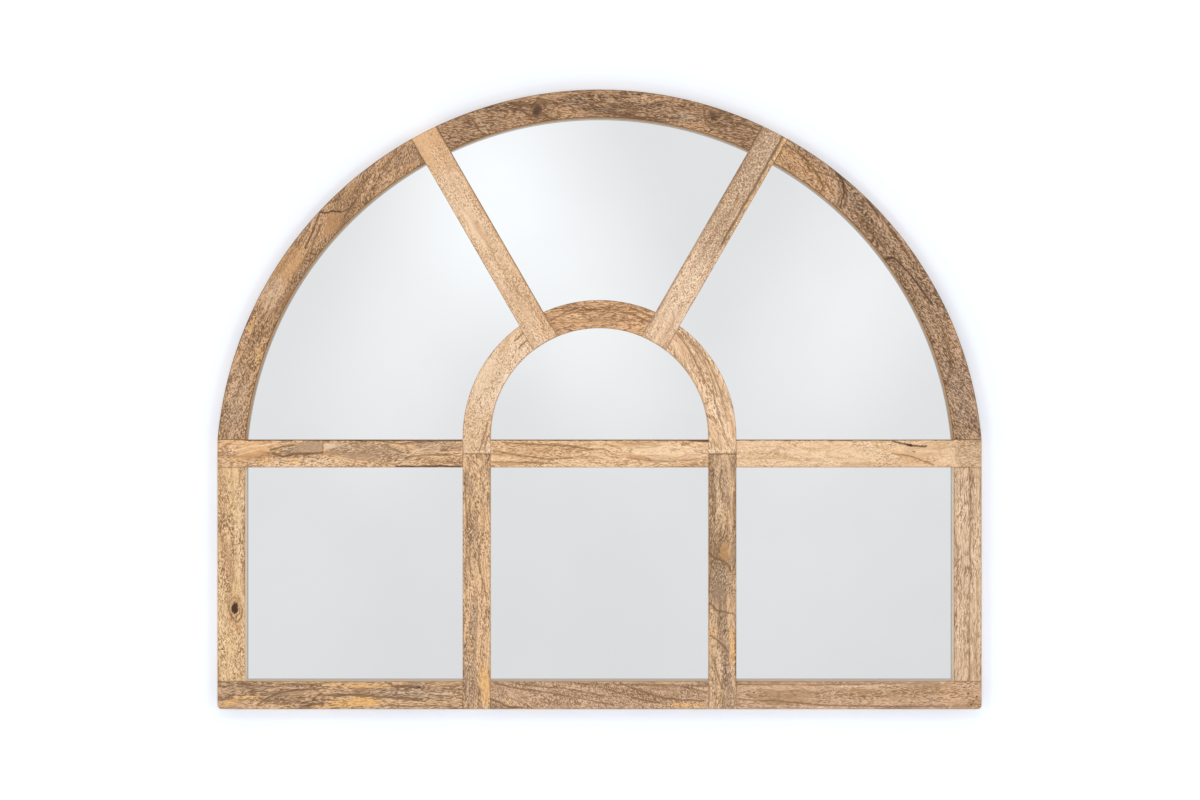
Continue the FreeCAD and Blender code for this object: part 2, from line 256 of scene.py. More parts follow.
def wall_distance(tree, spot, walls):
    """Metres to the nearest wall of an outline, from a point inside it."""
    flat = add(tree, "VectorMath", {0: spot, 1: (1, 0, 1)}, operation="MULTIPLY")
    return combine(tree, "MINIMUM", (wall_gap(tree, flat, wall) for wall in walls))


# ---- the boards: tones of each one, and the marks in it ----
# grain is the direction that the fibres run on the face, in degrees up from the right; wall is
# the tone of painted light on the walls of the openings, which the lamps barely reach; grey and
# figure say how much grey heartwood and how strong growth lines a board has, busy how strong its
# fibre dashes are, tilt how far they lean off the grain, in degrees; dash is how many times as long
# as wide they are, and fine their width beside the usual one
Board = collections.namedtuple("Board", "grain pale dark wall grey figure busy tilt dash fine")
BOARDS = {
    "outer_arch_left": Board(59, "cba27a", "8c6946", "d0a878", 0.22, 0.9, 1.5, 12, 2.6, 0.95),
    "outer_arch_top": Board(2, "bc936d", "715236", "cca474", 0.25, 1.2, 2.2, -8, 6, 0.8),
    "outer_arch_right": Board(121, "c9a484", "765739", "d2aa7a", 0.28, 1.2, 2.0, 14, 3, 1.0),
    "inner_arch_left": Board(63, "f4d8ba", "d8b48e", "f8e2c8", 0.0, 0.5, 1.35, 10, 2.2, 0.95),
    "inner_arch_top": Board(0, "e4b68a", "a87c54", "e6c49e", 0.04, 1.2, 1.2, 0, 6, 0.85),
    "inner_arch_right": Board(117, "f6d6b4", "dcb690", "f8e0c4", 0.0, 0.8, 1.3, -4, 6, 0.9),
    "spoke_left": Board(120, "f0d2b2", "d9b590", "d9a876", 0.0, 0.4, 1.1, 6, 2.2, 0.9),
    "spoke_right": Board(60, "f0d2b2", "c8a280", "d9a876", 0.0, 0.5, 1.9, -6, 2.0, 0.95),
    "middle_rail_left": Board(0, "ebc49a", "b48b62", "eacaa6", 0.10, 1.0, 1.15, 8, 4, 0.9),
    "middle_rail_centre": Board(0, "f0cca2", "cda174", "f0d0ae", 0.0, 0.9, 1.0, -3, 6, 0.8),
    "middle_rail_right": Board(0, "efcfab", "d8b48c", "f4dabc", 0.0, 0.4, 0.95, 4, 3, 0.85),
    "bottom_rail_left": Board(0, "d5af88", "8f6e4e", "ecd0ac", 0.25, 1.0, 1.35, 4, 6, 0.9),
    "bottom_rail_centre": Board(-6, "d1ae8e", "9a7857", "e6c8a4", 0.20, 0.9, 1.35, -40, 2.6, 0.9),
    "bottom_rail_right": Board(2, "d2ae90", "ab8863", "e8ceaa", 0.06, 0.6, 1.0, 0, 5, 0.8),
    "outer_stile_left": Board(90, "e9c89a", "bc946c", "fff2e0", 0.0, 0.8, 1.4, 12, 2.6, 1.0),
    "outer_stile_right": Board(90, "dfc2a3", "bc9a79", "fff2e0", 0.0, 0.6, 1.2, -2, 9, 0.85),
    "inner_stile_left": Board(90, "e6bf95", "997653", "fae8d2", 0.16, 1.0, 1.25, 8, 3, 0.95),
    "inner_stile_right": Board(90, "dcb994", "8d6e4f", "f6e4cc", 0.20, 1.0, 1.0, -8, 3, 0.9),
}

# a mark is an oval on the face: its middle, length and width in millimetres, the direction of
# its length in degrees up from the right, and how strongly it shows; a line runs through points
# on the face, and reaches its width to each side of them; knots, cracks and streaks are dark, and
# grey, dark, pale, honey and gold are patches of those tones; a plug is smooth filler; the fibre
# dashes are stronger where the wood is rough, and weaker where it is smooth
Mark = collections.namedtuple("Mark", "kind x z length width turn strength")
Line = collections.namedtuple("Line", "kind width strength points")
# painted shade: the crack lines along the middle rail's top edge, and the honey and streak lines along
# the spokes' edges toward the middle, stand for shade at those edges, not marks in the wood
MARKS = {
    "outer_arch_left": [
        Line("crack", 1.0, 0.9, ((-404, 716), (-395, 714), (-383, 717), (-371, 716))),
        Line("crack", 0.8, 0.6, ((-371, 716), (-362, 719), (-354, 727), (-350, 736))),
        Line("crack", 1.3, 0.7, ((-424, 664), (-412, 690), (-404, 712))),
        Line("streak", 1.2, 0.8, ((-414, 666), (-402, 698))),
        Line("streak", 1.1, 0.8, ((-318, 774), (-296, 796), (-280, 812))),
        Line("streak", 1.1, 0.7, ((-352, 742), (-330, 770))), Mark("rough", -408, 690, 50, 18, 62, 1.0),
        Mark("honey", -447, 640, 60, 36, 62, 0.6), Mark("smooth", -447, 640, 56, 30, 62, 0.9),
        Mark("pale", -470, 600, 50, 26, 66, 0.5), Mark("honey", -388, 698, 36, 26, 50, 0.5),
        Mark("smooth", -468, 593, 90, 36, 62, 0.6), Mark("dark", -366, 712, 90, 46, 45, 0.9),
        Mark("smooth", -384, 700, 48, 30, 50, 0.9), Mark("gold", -424, 667, 10, 4, 60, 1.0),
        Mark("gold", -491, 508, 34, 5, 76, 0.8), Mark("gold", -501, 552, 34, 4, 70, 0.8),
        Mark("gold", -478, 490, 20, 3, 80, 0.7), Mark("pale", -524, 440, 100, 30, 84, 0.4),
        Mark("rough", -500, 500, 130, 34, 74, 0.5), Mark("grey", -270, 800, 60, 24, 32, 0.5),
    ],
    "outer_arch_top": [
        Mark("knot", -90, 861, 15, 10, 60, 0.8), Mark("dark", -96, 862, 60, 22, -20, 0.6),
        Line("streak", 1.8, 0.9, ((-124, 873), (-110, 872), (-96, 868))),
        Line("streak", 1.6, 0.9, ((-118, 865), (-106, 858), (-98, 853))),
        Line("streak", 1.8, 0.9, ((-80, 856), (-70, 850), (-62, 848))),
        Line("streak", 1.4, 0.8, ((-90, 879), (-72, 877), (-60, 870))),
        Line("streak", 1.6, 0.9, ((14, 861), (26, 856), (44, 852), (66, 851))),
        Line("streak", 1.4, 0.8, ((-20, 874), (10, 873), (34, 866), (56, 863))),
        Line("streak", 1.0, 0.8, ((-184, 852), (-174, 834), (-162, 822))),
        Line("pale", 1.0, 0.6, ((-180, 854), (-168, 840), (-159, 825))),
        Line("pale", 0.8, 0.5, ((-173, 855), (-162, 842), (-155, 829))),
        Mark("knot", 164, 852, 10, 7, -50, 0.6), Mark("dark", 172, 850, 44, 28, -25, 1.0),
        Line("streak", 1.4, 0.8, ((150, 866), (152, 850), (164, 840), (182, 838))),
        Line("streak", 1.4, 0.8, ((158, 868), (176, 862), (190, 850), (194, 838))),
        Line("streak", 1.2, 0.7, ((196, 846), (216, 838), (240, 828))),
        Mark("pale", 121, 853, 26, 16, 0, 0.3), Mark("dark", 20, 858, 90, 12, -6, 0.8),
        Mark("dark", -180, 832, 90, 30, 18, 0.7), Mark("rough", -150, 846, 90, 34, 14, 0.6),
        Mark("dark", 196, 836, 90, 40, -18, 0.7),
    ],
    "outer_arch_right": [
        Mark("honey", 286, 778, 130, 44, -40, 1.0), Mark("honey", 262, 796, 60, 32, -35, 1.0),
        Mark("rough", 284, 782, 130, 44, -40, 0.9), Mark("gold", 268, 800, 40, 5, -38, 0.5),
        Line("streak", 1.2, 0.9, ((270, 812), (292, 796), (312, 774), (322, 752), (317, 743))),
        Line("streak", 1.1, 0.8, ((305, 776), (326, 770), (343, 762), (349, 742), (342, 726))),
        Line("streak", 1.2, 0.9, ((330, 784), (348, 766), (356, 744), (352, 722))),
        Line("crack", 1.2, 0.8, ((338, 778), (350, 762), (352, 744), (346, 722))),
        Line("crack", 1.3, 0.8, ((384, 734), (394, 722), (402, 708))),
        Line("crack", 1.4, 0.8, ((404, 648), (424, 650), (438, 636), (450, 622), (462, 606),
                                 (478, 584))),
        Line("streak", 1.3, 0.8, ((368, 716), (384, 700), (398, 676), (410, 664))),
        Line("streak", 1.3, 0.8, ((400, 718), (416, 694), (436, 668), (446, 650))),
        Line("streak", 1.2, 0.8, ((492, 552), (502, 528), (506, 500), (500, 470))),
        Line("streak", 1.2, 0.7, ((506, 560), (520, 530), (524, 500))),
        Mark("gold", 509, 553, 26, 7, -68, 1.0), Mark("dark", 400, 672, 120, 30, -56, 0.8),
        Mark("dark", 500, 520, 90, 16, -66, 0.5), Mark("grey", 368, 728, 40, 26, -52, 0.7),
        Mark("grey", 521, 450, 110, 36, -80, 0.8), Mark("rough", 420, 650, 300, 36, -58, 0.5),
        Mark("rough", 516, 460, 180, 40, -78, 0.9), Mark("dark", 474, 586, 120, 46, -62, 0.6),
    ],
    "inner_arch_left": [
        Mark("rough", -110, 524, 34, 20, 58, 0.7), Mark("rough", -164, 398, 60, 12, 74, 0.8),
        Line("streak", 1.1, 0.8, ((-122, 530), (-112, 540), (-104, 548))),
        Line("streak", 1.1, 0.8, ((-116, 520), (-105, 531), (-96, 541))),
        Line("streak", 1.2, 0.7, ((-173, 372), (-166, 392), (-161, 412))),
        Line("streak", 1.0, 0.7, ((-166, 374), (-160, 394))),
        Mark("honey", -160, 420, 50, 8, 80, 0.6), Mark("smooth", -165, 478, 60, 24, 66, 0.8),
        Mark("dark", -178, 396, 70, 40, 80, 0.9), Mark("rough", -180, 396, 60, 30, 80, 0.4),
        Mark("pale", -158, 470, 90, 50, 66, 0.8), Mark("honey", -104, 548, 44, 40, 50, 0.7),
    ],
    "inner_arch_top": [
        Line("streak", 1.0, 0.6, ((-54, 566), (-30, 573), (-8, 576))),
        Line("streak", 1.0, 0.6, ((4, 578), (26, 574), (50, 566))),
        Mark("honey", 55, 570, 40, 12, -14, 0.6), Mark("rough", 62, 563, 44, 18, -20, 0.5),
        Line("streak", 1.3, 0.8, ((44, 578), (62, 571), (80, 562))),
        Line("streak", 1.2, 0.8, ((50, 568), (66, 560), (78, 553))),
        Line("streak", 1.2, 0.7, ((-70, 560), (-50, 571), (-30, 578))),
        Mark("dark", -76, 556, 30, 20, 60, 0.8), Mark("dark", 20, 568, 60, 30, 0, 0.7),
    ],
    "inner_arch_right": [
        Line("streak", 1.1, 0.7, ((111, 541), (127, 522), (141, 495), (153, 470))),
        Line("streak", 1.0, 0.6, ((119, 544), (136, 522), (150, 496))),
        Line("streak", 1.0, 0.6, ((127, 538), (146, 512), (160, 482), (170, 452))),
        Line("streak", 1.0, 0.6, ((140, 524), (160, 494), (172, 464), (182, 430))),
        Line("streak", 1.0, 0.7, ((162, 460), (170, 430), (180, 396))),
        Line("pale", 1.2, 0.8, ((158, 372), (197, 372))),
        Mark("smooth", 112, 528, 34, 8, 125, 0.6),
    ],
    "spoke_left": [
        Mark("honey", -250, 822, 110, 60, 120, 1.0), Mark("smooth", -254, 822, 50, 44, 120, 0.6),
        Mark("smooth", -176, 690, 70, 24, 120, 0.9), Mark("dark", -112, 600, 120, 20, 120, 0.9),
        Mark("rough", -121, 612, 60, 18, 124, 0.9), Mark("rough", -92, 574, 60, 14, 118, 0.9),
        Mark("honey", -82, 556, 44, 26, 110, 0.6), Mark("rough", -84, 556, 44, 26, 110, 1.0),
        Mark("rough", -166, 655, 60, 12, 122, 0.5), Mark("rough", -230, 790, 40, 14, 120, 0.6),
        Mark("honey", -104, 596, 90, 14, 120, 0.5), Mark("rough", -118, 606, 40, 16, 120, 0.8),
        Line("streak", 1.0, 0.4, ((-104, 594), (-94, 574), (-84, 560), (-78, 546))),
        Line("streak", 1.0, 0.4, ((-126, 618), (-118, 600), (-106, 588))),
        # painted shade: these two lines along the spoke's edge toward the middle stand for the shade on
        # its eased edge
        Line("honey", 2.4, 1.0, ((-71, 553), (-247, 857))),
        Line("streak", 1.2, 0.6, ((-70, 552), (-246, 857))),
    ],
    "spoke_right": [
        Mark("grey", 240, 810, 170, 56, 60, 0.85), Mark("rough", 212, 756, 240, 30, 60, 0.7),
        Mark("grey", 186, 714, 170, 42, 60, 0.35), Mark("pale", 116, 592, 150, 46, 60, 0.8),
        Line("gold", 2.6, 0.7, ((190, 680), (232, 756), (276, 832))),
        Line("streak", 1.6, 0.9, ((176, 670), (214, 736), (266, 828), (276, 850))),
        # painted shade: this line along the spoke's edge toward the middle stands for the shade on its
        # eased edge
        Line("streak", 1.2, 0.5, ((72, 553), (247, 857))),
        Mark("honey", 272, 826, 60, 14, 60, 0.9), Mark("honey", 92, 546, 40, 30, 60, 0.4),
        Mark("smooth", 100, 552, 70, 40, 60, 0.9), Mark("rough", 86, 548, 12, 8, 0, 0.8),
        Line("streak", 1.0, 0.4, ((104, 576), (108, 562), (102, 548), (96, 540))),
    ],
    "middle_rail_left": [
        Mark("grey", -444, 371, 54, 12, 4, 1.0), Mark("plug", -418, 377, 38, 14.5, 3, 1.0),
        Mark("gold", -480, 358, 24, 6, 20, 0.7), Mark("gold", -440, 357, 26, 5, 2, 0.9),
        Mark("gold", -462, 372, 7, 5, 40, 0.9), Mark("gold", -530, 384, 34, 3, 6, 0.8),
        Mark("dark", -538, 378, 18, 9, 60, 0.8), Mark("dark", -534, 366, 24, 5, 10, 0.8),
        Mark("gold", -522, 361, 14, 4, -10, 0.8), Mark("honey", -497, 374, 70, 22, 20, 0.9),
        Mark("pale", -386, 379, 44, 9, 6, 0.9), Mark("smooth", -388, 380, 40, 10, 0, 1.0),
        Mark("pale", -424, 356, 90, 12, 0, 0.7), Mark("rough", -430, 358, 100, 14, 0, 0.9),
        Line("streak", 1.3, 1.0, ((-470, 368), (-456, 363), (-440, 367), (-420, 368), (-400, 369))),
        Line("streak", 1.0, 0.8, ((-399, 369), (-398, 384))),
        Line("streak", 1.2, 0.9, ((-474, 373), (-456, 378), (-438, 380))),
        Line("pale", 1.2, 0.9, ((-532, 370), (-504, 378), (-480, 380), (-462, 385))),
        Line("pale", 1.0, 0.8, ((-522, 366), (-490, 374))),
        Line("gold", 1.2, 0.8, ((-526, 374), (-504, 382), (-486, 384))),
        Mark("smooth", -494, 374, 80, 24, 18, 1.0), Mark("rough", -534, 370, 26, 30, 0, 0.7),
        # painted shade: this crack line along the rail's top edge stands for the shade at the gap
        # between rail and pane
        Line("crack", 1.2, 0.8, ((-510, 387.6), (-390, 387.4), (-197, 386.8))),
        Line("crack", 1.3, 0.8, ((-292, 350), (-262, 349.5), (-232, 350), (-199, 349))),
        Mark("grey", -330, 370, 120, 24, -4, 0.8), Mark("grey", -232, 378, 70, 14, 0, 0.8),
        Line("pale", 1.1, 0.8, ((-300, 352), (-286, 360), (-264, 372), (-232, 382))),
        Line("pale", 1.1, 0.7, ((-284, 352), (-262, 364), (-230, 370))),
        Line("streak", 1.2, 0.8, ((-280, 362), (-250, 366), (-214, 367))),
        Line("streak", 1.1, 0.8, ((-322, 386), (-286, 382), (-240, 386))),
    ],
    "middle_rail_centre": [
        Line("streak", 1.1, 0.8, ((-140, 384), (-90, 381), (-46, 379), (-10, 374))),
        Line("streak", 1.1, 0.7, ((-152, 372), (-120, 366), (-76, 360), (-40, 362))),
        Line("streak", 1.0, 0.6, ((-154, 356), (-110, 355), (-60, 354))),
        Line("streak", 1.0, 0.6, ((40, 362), (70, 358), (110, 356))),
        # painted shade: these two crack lines along the rail's top edge stand for the shade at the gap
        # between rail and pane
        Line("crack", 1.2, 0.7, ((-157, 387.6), (157, 387.6))),
        Line("crack", 1.6, 0.9, ((128, 387.4), (157, 386.4))),
        Mark("dark", -100, 372, 110, 26, -4, 0.7), Mark("rough", -60, 372, 120, 24, 0, 0.3),
        Mark("pale", 100, 370, 110, 20, -6, 0.5), Mark("smooth", 90, 370, 120, 22, -4, 0.6),
        Line("pale", 1.4, 0.9, ((48, 370), (70, 364), (98, 358), (120, 355))),
        Line("pale", 1.2, 0.8, ((76, 386), (110, 380), (150, 372))),
    ],
    "middle_rail_right": [
        Line("crack", 1.3, 0.8, ((422, 386), (438, 382), (452, 379), (470, 378.5))),
        Mark("crack", 446, 380.5, 16, 3.2, -12, 1.0), Mark("crack", 452, 370.5, 5, 1.8, 0, 0.8),
        # painted shade: this crack line along the rail's top edge stands for the shade at the gap
        # between rail and pane
        Line("crack", 1.1, 0.7, ((197, 387.6), (510, 387.6))),
        Line("pale", 2.2, 0.9, ((270, 382), (296, 372), (326, 360), (344, 352))),
        Line("pale", 1.6, 0.8, ((262, 372), (286, 362), (306, 352))),
        Line("pale", 1.6, 0.8, ((372, 384), (400, 372), (430, 364))),
        Line("gold", 1.2, 0.7, ((262, 386), (284, 378), (310, 370))),
        Line("gold", 1.2, 0.7, ((394, 382), (416, 372), (440, 367))),
        Mark("honey", 456, 360, 60, 12, -8, 0.9), Mark("dark", 456, 357, 50, 6, -8, 0.8),
        Line("streak", 1.1, 0.7, ((420, 368), (448, 364), (480, 352))),
        Mark("grey", 534, 368, 46, 60, 0, 0.25), Mark("rough", 532, 370, 40, 60, 0, 0.5),
        Mark("smooth", 460, 374, 80, 24, 0, 0.8), Mark("smooth", 320, 372, 90, 26, 0, 0.7),
    ],
    "bottom_rail_left": [
        Mark("gold", -350, 33, 100, 3.5, -2, 1.0), Mark("gold", -352, 9, 76, 10, 0, 1.0),
        Mark("gold", -386, 4, 56, 4, 0, 0.9), Mark("gold", -335, 15, 50, 4, -4, 0.9),
        Mark("gold", -506, 17, 42, 3.5, 2, 1.0), Mark("gold", -531, 10, 24, 6, 24, 0.8),
        Mark("gold", -470, 1.5, 60, 2, 0, 0.7), Mark("gold", -330, 26, 40, 2, 0, 0.5),
        Mark("dark", -460, 26, 34, 7, 14, 0.9), Mark("grey", -532, 27, 26, 14, 0, 0.6),
        Line("streak", 1.2, 0.9, ((-493, 6), (-478, 16), (-463, 23), (-436, 28), (-409, 29))),
        Line("streak", 1.1, 0.7, ((-512, 36), (-470, 32), (-440, 36), (-400, 36))),
        Line("streak", 1.1, 0.8, ((-399, 20), (-350, 21), (-310, 17), (-262, 14))),
        Line("streak", 1.3, 0.9, ((-299, 34), (-280, 33), (-261, 32))),
        Mark("crack", -260.5, 31.5, 5, 2.6, 0, 0.9), Mark("grey", -284, 22, 130, 14, 0, 0.8),
        Line("streak", 1.1, 0.7, ((-308, 6), (-270, 4), (-240, 5))),
        Line("pale", 1.0, 0.8, ((-330, 25), (-290, 25), (-215, 22))),
        Mark("rough", -510, 26, 60, 18, 10, 0.7),
    ],
    "bottom_rail_centre": [
        Mark("gold", 127, 6.5, 50, 5, 2, 1.0), Mark("gold", -130, 8, 14, 3, -30, 0.8),
        Line("gold", 0.9, 0.8, ((-126, 0.8), (-76, 0.8))), Mark("gold", 108, 8, 14, 4, -30, 0.8),
        Line("streak", 1.2, 0.9, ((-157, 15), (-146, 11), (-132, 4), (-118, 2))),
        Line("streak", 1.2, 0.8, ((-152, 37), (-116, 30), (-74, 24), (-30, 16), (20, 6))),
        Line("streak", 1.1, 0.7, ((-120, 37), (-90, 33), (-50, 30), (0, 20))),
        Line("streak", 1.3, 0.8, ((30, 37), (60, 26), (84, 18), (112, 14), (150, 12))),
        Line("streak", 1.1, 0.7, ((0, 32), (34, 22), (66, 12), (90, 9))),
        Line("streak", 1.1, 0.7, ((104, 36), (130, 30), (154, 24))),
        Line("streak", 1.0, 0.6, ((-30, 37), (20, 36), (90, 35), (154, 33))),
        Line("pale", 1.1, 0.8, ((-90, 28), (-40, 19), (0, 11))),
        Mark("dark", 120, 26, 60, 14, -8, 0.6), Mark("dark", -144, 24, 24, 18, 0, 0.6),
        Mark("rough", 0, 20, 240, 30, -6, 0.4),
    ],
    "bottom_rail_right": [
        Line("streak", 1.1, 0.7, ((200, 14), (260, 12), (320, 6), (400, 4), (500, 4))),
        Line("streak", 1.0, 0.6, ((200, 36), (300, 35), (400, 36), (490, 38))),
        Line("pale", 1.4, 0.8, ((340, 33), (400, 35), (450, 37), (496, 39))),
        Line("pale", 1.2, 0.6, ((204, 6), (260, 5), (330, 2))),
        Mark("honey", 514, 22, 60, 30, 0, 0.4), Mark("dark", 226, 24, 50, 8, 0, 0.6),
        Mark("crack", 531, 22, 2.6, 2.2, 0, 1.0), Mark("crack", 538, 12, 2.4, 2.4, 0, 1.0),
        Mark("crack", 543, 18, 2.2, 2.0, 0, 1.0), Mark("crack", 535, 7, 2.4, 2.0, 0, 0.9),
    ],
    "outer_stile_left": [
        Mark("knot", -525, 146, 15, 8.5, 88, 1.0), Mark("honey", -523, 140, 60, 20, 90, 0.6),
        Line("streak", 1.1, 0.8, ((-531, 138), (-526, 128), (-521, 126), (-515, 132), (-514, 144))),
        Mark("dark", -540, 300, 90, 8, 90, 0.6), Mark("pale", -518, 260, 120, 8, 90, 0.6),
    ],
    "outer_stile_right": [
        Mark("pale", 522, 220, 200, 4, 90, 0.6), Mark("pale", 536, 140, 160, 4, 90, 0.6),
        Line("pale", 1.0, 0.8, ((517, 340), (519, 240), (516, 150), (518, 50))),
        Line("pale", 0.9, 0.7, ((529, 346), (530, 250), (528, 170))),
        Line("pale", 0.9, 0.7, ((541, 330), (540, 220), (542, 120))),
        Line("streak", 0.9, 0.5, ((533, 346), (534, 240), (532, 120), (533, 44))),
    ],
    "inner_stile_left": [
        Mark("grey", -179, 254, 80, 8, 90, 0.8), Mark("grey", -183, 104, 120, 12, 86, 0.9),
        Mark("grey", -187, 50, 110, 18, 92, 0.9), Mark("gold", -165, 36, 60, 15, 96, 0.6),
        Mark("smooth", -165, 36, 50, 15, 96, 0.8), Mark("gold", -186, 90, 40, 5, 92, 0.5),
        Mark("dark", -161, 139, 22, 9, 76, 1.0), Mark("rough", -161, 139, 26, 10, 76, 0.9),
        Line("streak", 1.1, 0.7, ((-194, 340), (-193, 300), (-190, 262))),
        Line("streak", 1.1, 0.7, ((-172, 196), (-174, 224), (-170, 250))),
        Line("streak", 0.8, 0.5, ((-197, 367.4), (-157, 367.4))),
    ],
    "inner_stile_right": [
        Mark("grey", 181, 320, 70, 7, 90, 0.7), Mark("grey", 192, 350, 40, 8, 90, 0.6),
        Line("pale", 1.4, 0.8, ((170, 346), (168, 322), (174, 300), (172, 280))),
        Line("streak", 1.2, 0.8, ((175, 344), (173, 326), (178, 306))),
        Mark("honey", 182, 226, 30, 16, 90, 0.8), Mark("smooth", 182, 226, 30, 17, 90, 1.0),
        Line("streak", 1.3, 0.9, ((158, 226), (165, 218), (176, 214), (186, 208), (189, 198))),
        Mark("grey", 174, 180, 62, 26, 90, 0.9), Mark("smooth", 170, 160, 36, 18, 90, 0.7),
        Line("streak", 1.2, 0.8, ((158, 153), (169, 142), (180, 140), (192, 138))),
        Mark("grey", 181, 90, 104, 11, 92, 0.9), Line("gold", 3.0, 0.8, ((190, 112), (192, 70))),
        Mark("gold", 161, 112, 22, 7, 110, 0.7), Line("pale", 2.2, 0.8, ((170, 84), (176, 52))),
        Line("streak", 1.2, 0.8, ((160, 106), (172, 98), (186, 82))),
        Line("streak", 1.2, 0.7, ((165, 70), (170, 50), (176, 30))),
        Line("streak", 0.9, 0.8, ((157, 367.4), (197, 367.4))),
    ],
}


# ---- what a user would change ----
def colour_setting(name, description, colour):
    """A colour in the sidebar."""
    return bpy.props.FloatVectorProperty(
        name=name, description=description, subtype="COLOR", default=colour, min=0, max=1)


def length_setting(name, description, length, **limits):
    """A length in the sidebar, in metres."""
    return bpy.props.FloatProperty(
        name=name, description=description, subtype="DISTANCE", unit="LENGTH", default=length,
        **limits)


class MangoWood(bpy.types.PropertyGroup):
    """Finish of the frame members."""
    grey_tone: colour_setting(
        "Grey heartwood", "Colour of the grey-brown streaks", linear("967d69"))
    oil_tone: colour_setting("Oil", "How the oil warms all of the wood", (1.0, 0.94, 0.87))
    plug_tone: colour_setting("Filler", "Colour of the smooth filled patch", linear("b2967b"))
    gold_tone: colour_setting("Spalt yellow", "Colour of the yellow flames", linear("e6b46c"))
    honey_tone: colour_setting(
        "Honey sapwood", "Colour of the smooth tan patches", linear("d3a26c"))
    pale_tone: colour_setting("Pale sapwood", "Colour of the palest streaks", linear("f8e4cc"))
    # this tone also paints the shade on the eased face edges
    line_tone: colour_setting(
        "Dark lines", "Colour of pores, growth lines and eased edges", linear("70512f"))
    dash_shade: colour_setting(
        "Dash shade", "How much darker than a board's dark tone its dashes are",
        (0.52, 0.46, 0.38))
    # this tone also paints the shade line along the middle rail's top edge
    crack_tone: colour_setting(
        "Cracks", "Colour inside cracks, knots and insect holes", linear("42260f"))
    figure_width: length_setting(
        "Figure width", "Width of the broad tone bands", 11 * MM, min=2 * MM)
    growth_lines: bpy.props.FloatProperty(
        name="Growth lines", description="How many growth lines the figure's whole range holds",
        default=14, min=0)
    fibre_width: length_setting(
        "Fibre width", "Width of the short fibre dashes", 1.4 * MM, min=0.2 * MM)
    # the edge line is the glue line at the seams and painted shade on the eased edges
    edge_width: length_setting(
        "Edge line", "Width of the darker line along each member's edge", 1.5 * MM,
        min=0.2 * MM)


class SilveredGlass(bpy.types.PropertyGroup):
    """Finish of the mirror panes."""
    silver_tone: colour_setting("Silvering", "Tint of the reflection", linear("f4f5f6"))
    # painted shade: the panes' grey line beside the outer frame stands for the lip's shaded back
    # reflected in the glass
    painted_lip_shade_tone: colour_setting(
        "Sight line", "Grey seen through the glass along the wood", linear("b4b2b0"))
    painted_lip_shade_width: length_setting(
        "Sight line width", "Width of the grey line beside the outer frame", 1.5 * MM,
        min=0.2 * MM)
    painted_lip_shade_gap: length_setting(
        "Sight line gap", "From the wood to the grey line", 1.4 * MM, min=0)


class BackFinish(bpy.types.PropertyGroup):
    """Finishes of the backing boards, dowels, hangers and pads."""
    hardboard_tone: colour_setting(
        "Hardboard", "Main colour of the backing boards", linear("8a6440"))
    screen_pitch: length_setting(
        "Screen pitch", "Spacing of the pressed screen marks in the boards", 2.2 * MM,
        min=0.5 * MM)
    beech_tone: colour_setting("Beech", "Main colour of the dowels", linear("d8b48a"))
    zinc_tone: colour_setting(
        "Zinc plate", "Main colour of the hangers and screws", linear("c9cdd1"))
    rubber_tone: colour_setting("Rubber", "Main colour of the wall pads", linear("2b2b2d"))


class Studio(bpy.types.PropertyGroup):
    """Camera, lamps, wall and floor."""
    camera_distance: length_setting(
        "Camera distance", "From the lens to the frame's front face", 3.7, min=0.5)
    picture_width: length_setting(
        "Picture width", "What the picture's width spans at the front face", 1.7273, min=0.1)
    camera_height: length_setting(
        "Camera height", "Height of the lens above the bottom edge", 0.4451)
    camera_offset: length_setting(
        "Camera offset", "How far right of the middle the lens is", 0.0007)
    wall_gap: length_setting(
        "Wall gap", "Clearance between the hangers and the wall", 0.001, min=0)
    floor_drop: length_setting(
        "Floor drop", "How far the floor lies below the bottom edge", 1.3, min=0)
    ambient: bpy.props.FloatProperty(
        name="Ambient light", description="Level of the light from all sides",
        default=0.85, min=0)
    soft_light_tint: colour_setting(
        "Soft light tint", "Colour of the soft lights seen in the panes", (0.88, 0.96, 1.0))
    wall_gain: bpy.props.FloatProperty(
        name="Wall gain", description="How much paler than real paint the camera sees the wall",
        default=1.14, min=0)
    lamp_distance: length_setting(
        "Lamp distance", "From the lamps to the middle of the mirror", 4.0, min=0.5)
    lamp_lean: bpy.props.FloatProperty(
        name="Lamp lean", description="Angle of each lamp off the mirror's straight ahead",
        subtype="ANGLE", unit="ROTATION", default=math.radians(25), min=0)
    lamp_size: length_setting("Lamp size", "Side of each square lamp", 0.6, min=0.05)
    lamp_power: bpy.props.FloatProperty(
        name="Lamp power", description="Power of each lamp",
        subtype="POWER", unit="POWER", default=12, min=0)


# ---- mango wood ----
# the cells of the patterns: length along the fibres, depth, and width across them
SWAY_CELL = (60 * MM, 30 * MM, 30 * MM)
RAG_CELL = (9 * MM, 5 * MM, 4 * MM)
GROWTH_CELL = (150 * MM, 50 * MM, 24 * MM)
HEART_CELL = (110 * MM, 40 * MM, 26 * MM)
BUSY_CELL = (45 * MM, 30 * MM, 16 * MM)
PORE_CELL = (5 * MM, 2 * MM, 2 * MM)
SWAY = 16 * MM           # how far the figure wavers
RAG = 4 * MM             # how far the outlines of marks stray
FRAY_REACH = 4.5         # how far a fray of 1 moves an outline, in millimetres
FRAY_DEPTH = 1.6         # and the most that it moves one, in the mark's half widths
MARK_DEPTH = 30 * MM     # how deep an oval mark goes, which is more than the board's thickness
BOW_LENGTH = 4.5         # the figure bows round a knot over this many of its lengths
BOW_WIDTH = 5            # and widths
BOW_PULL = 0.6           # by this share of the way to its middle

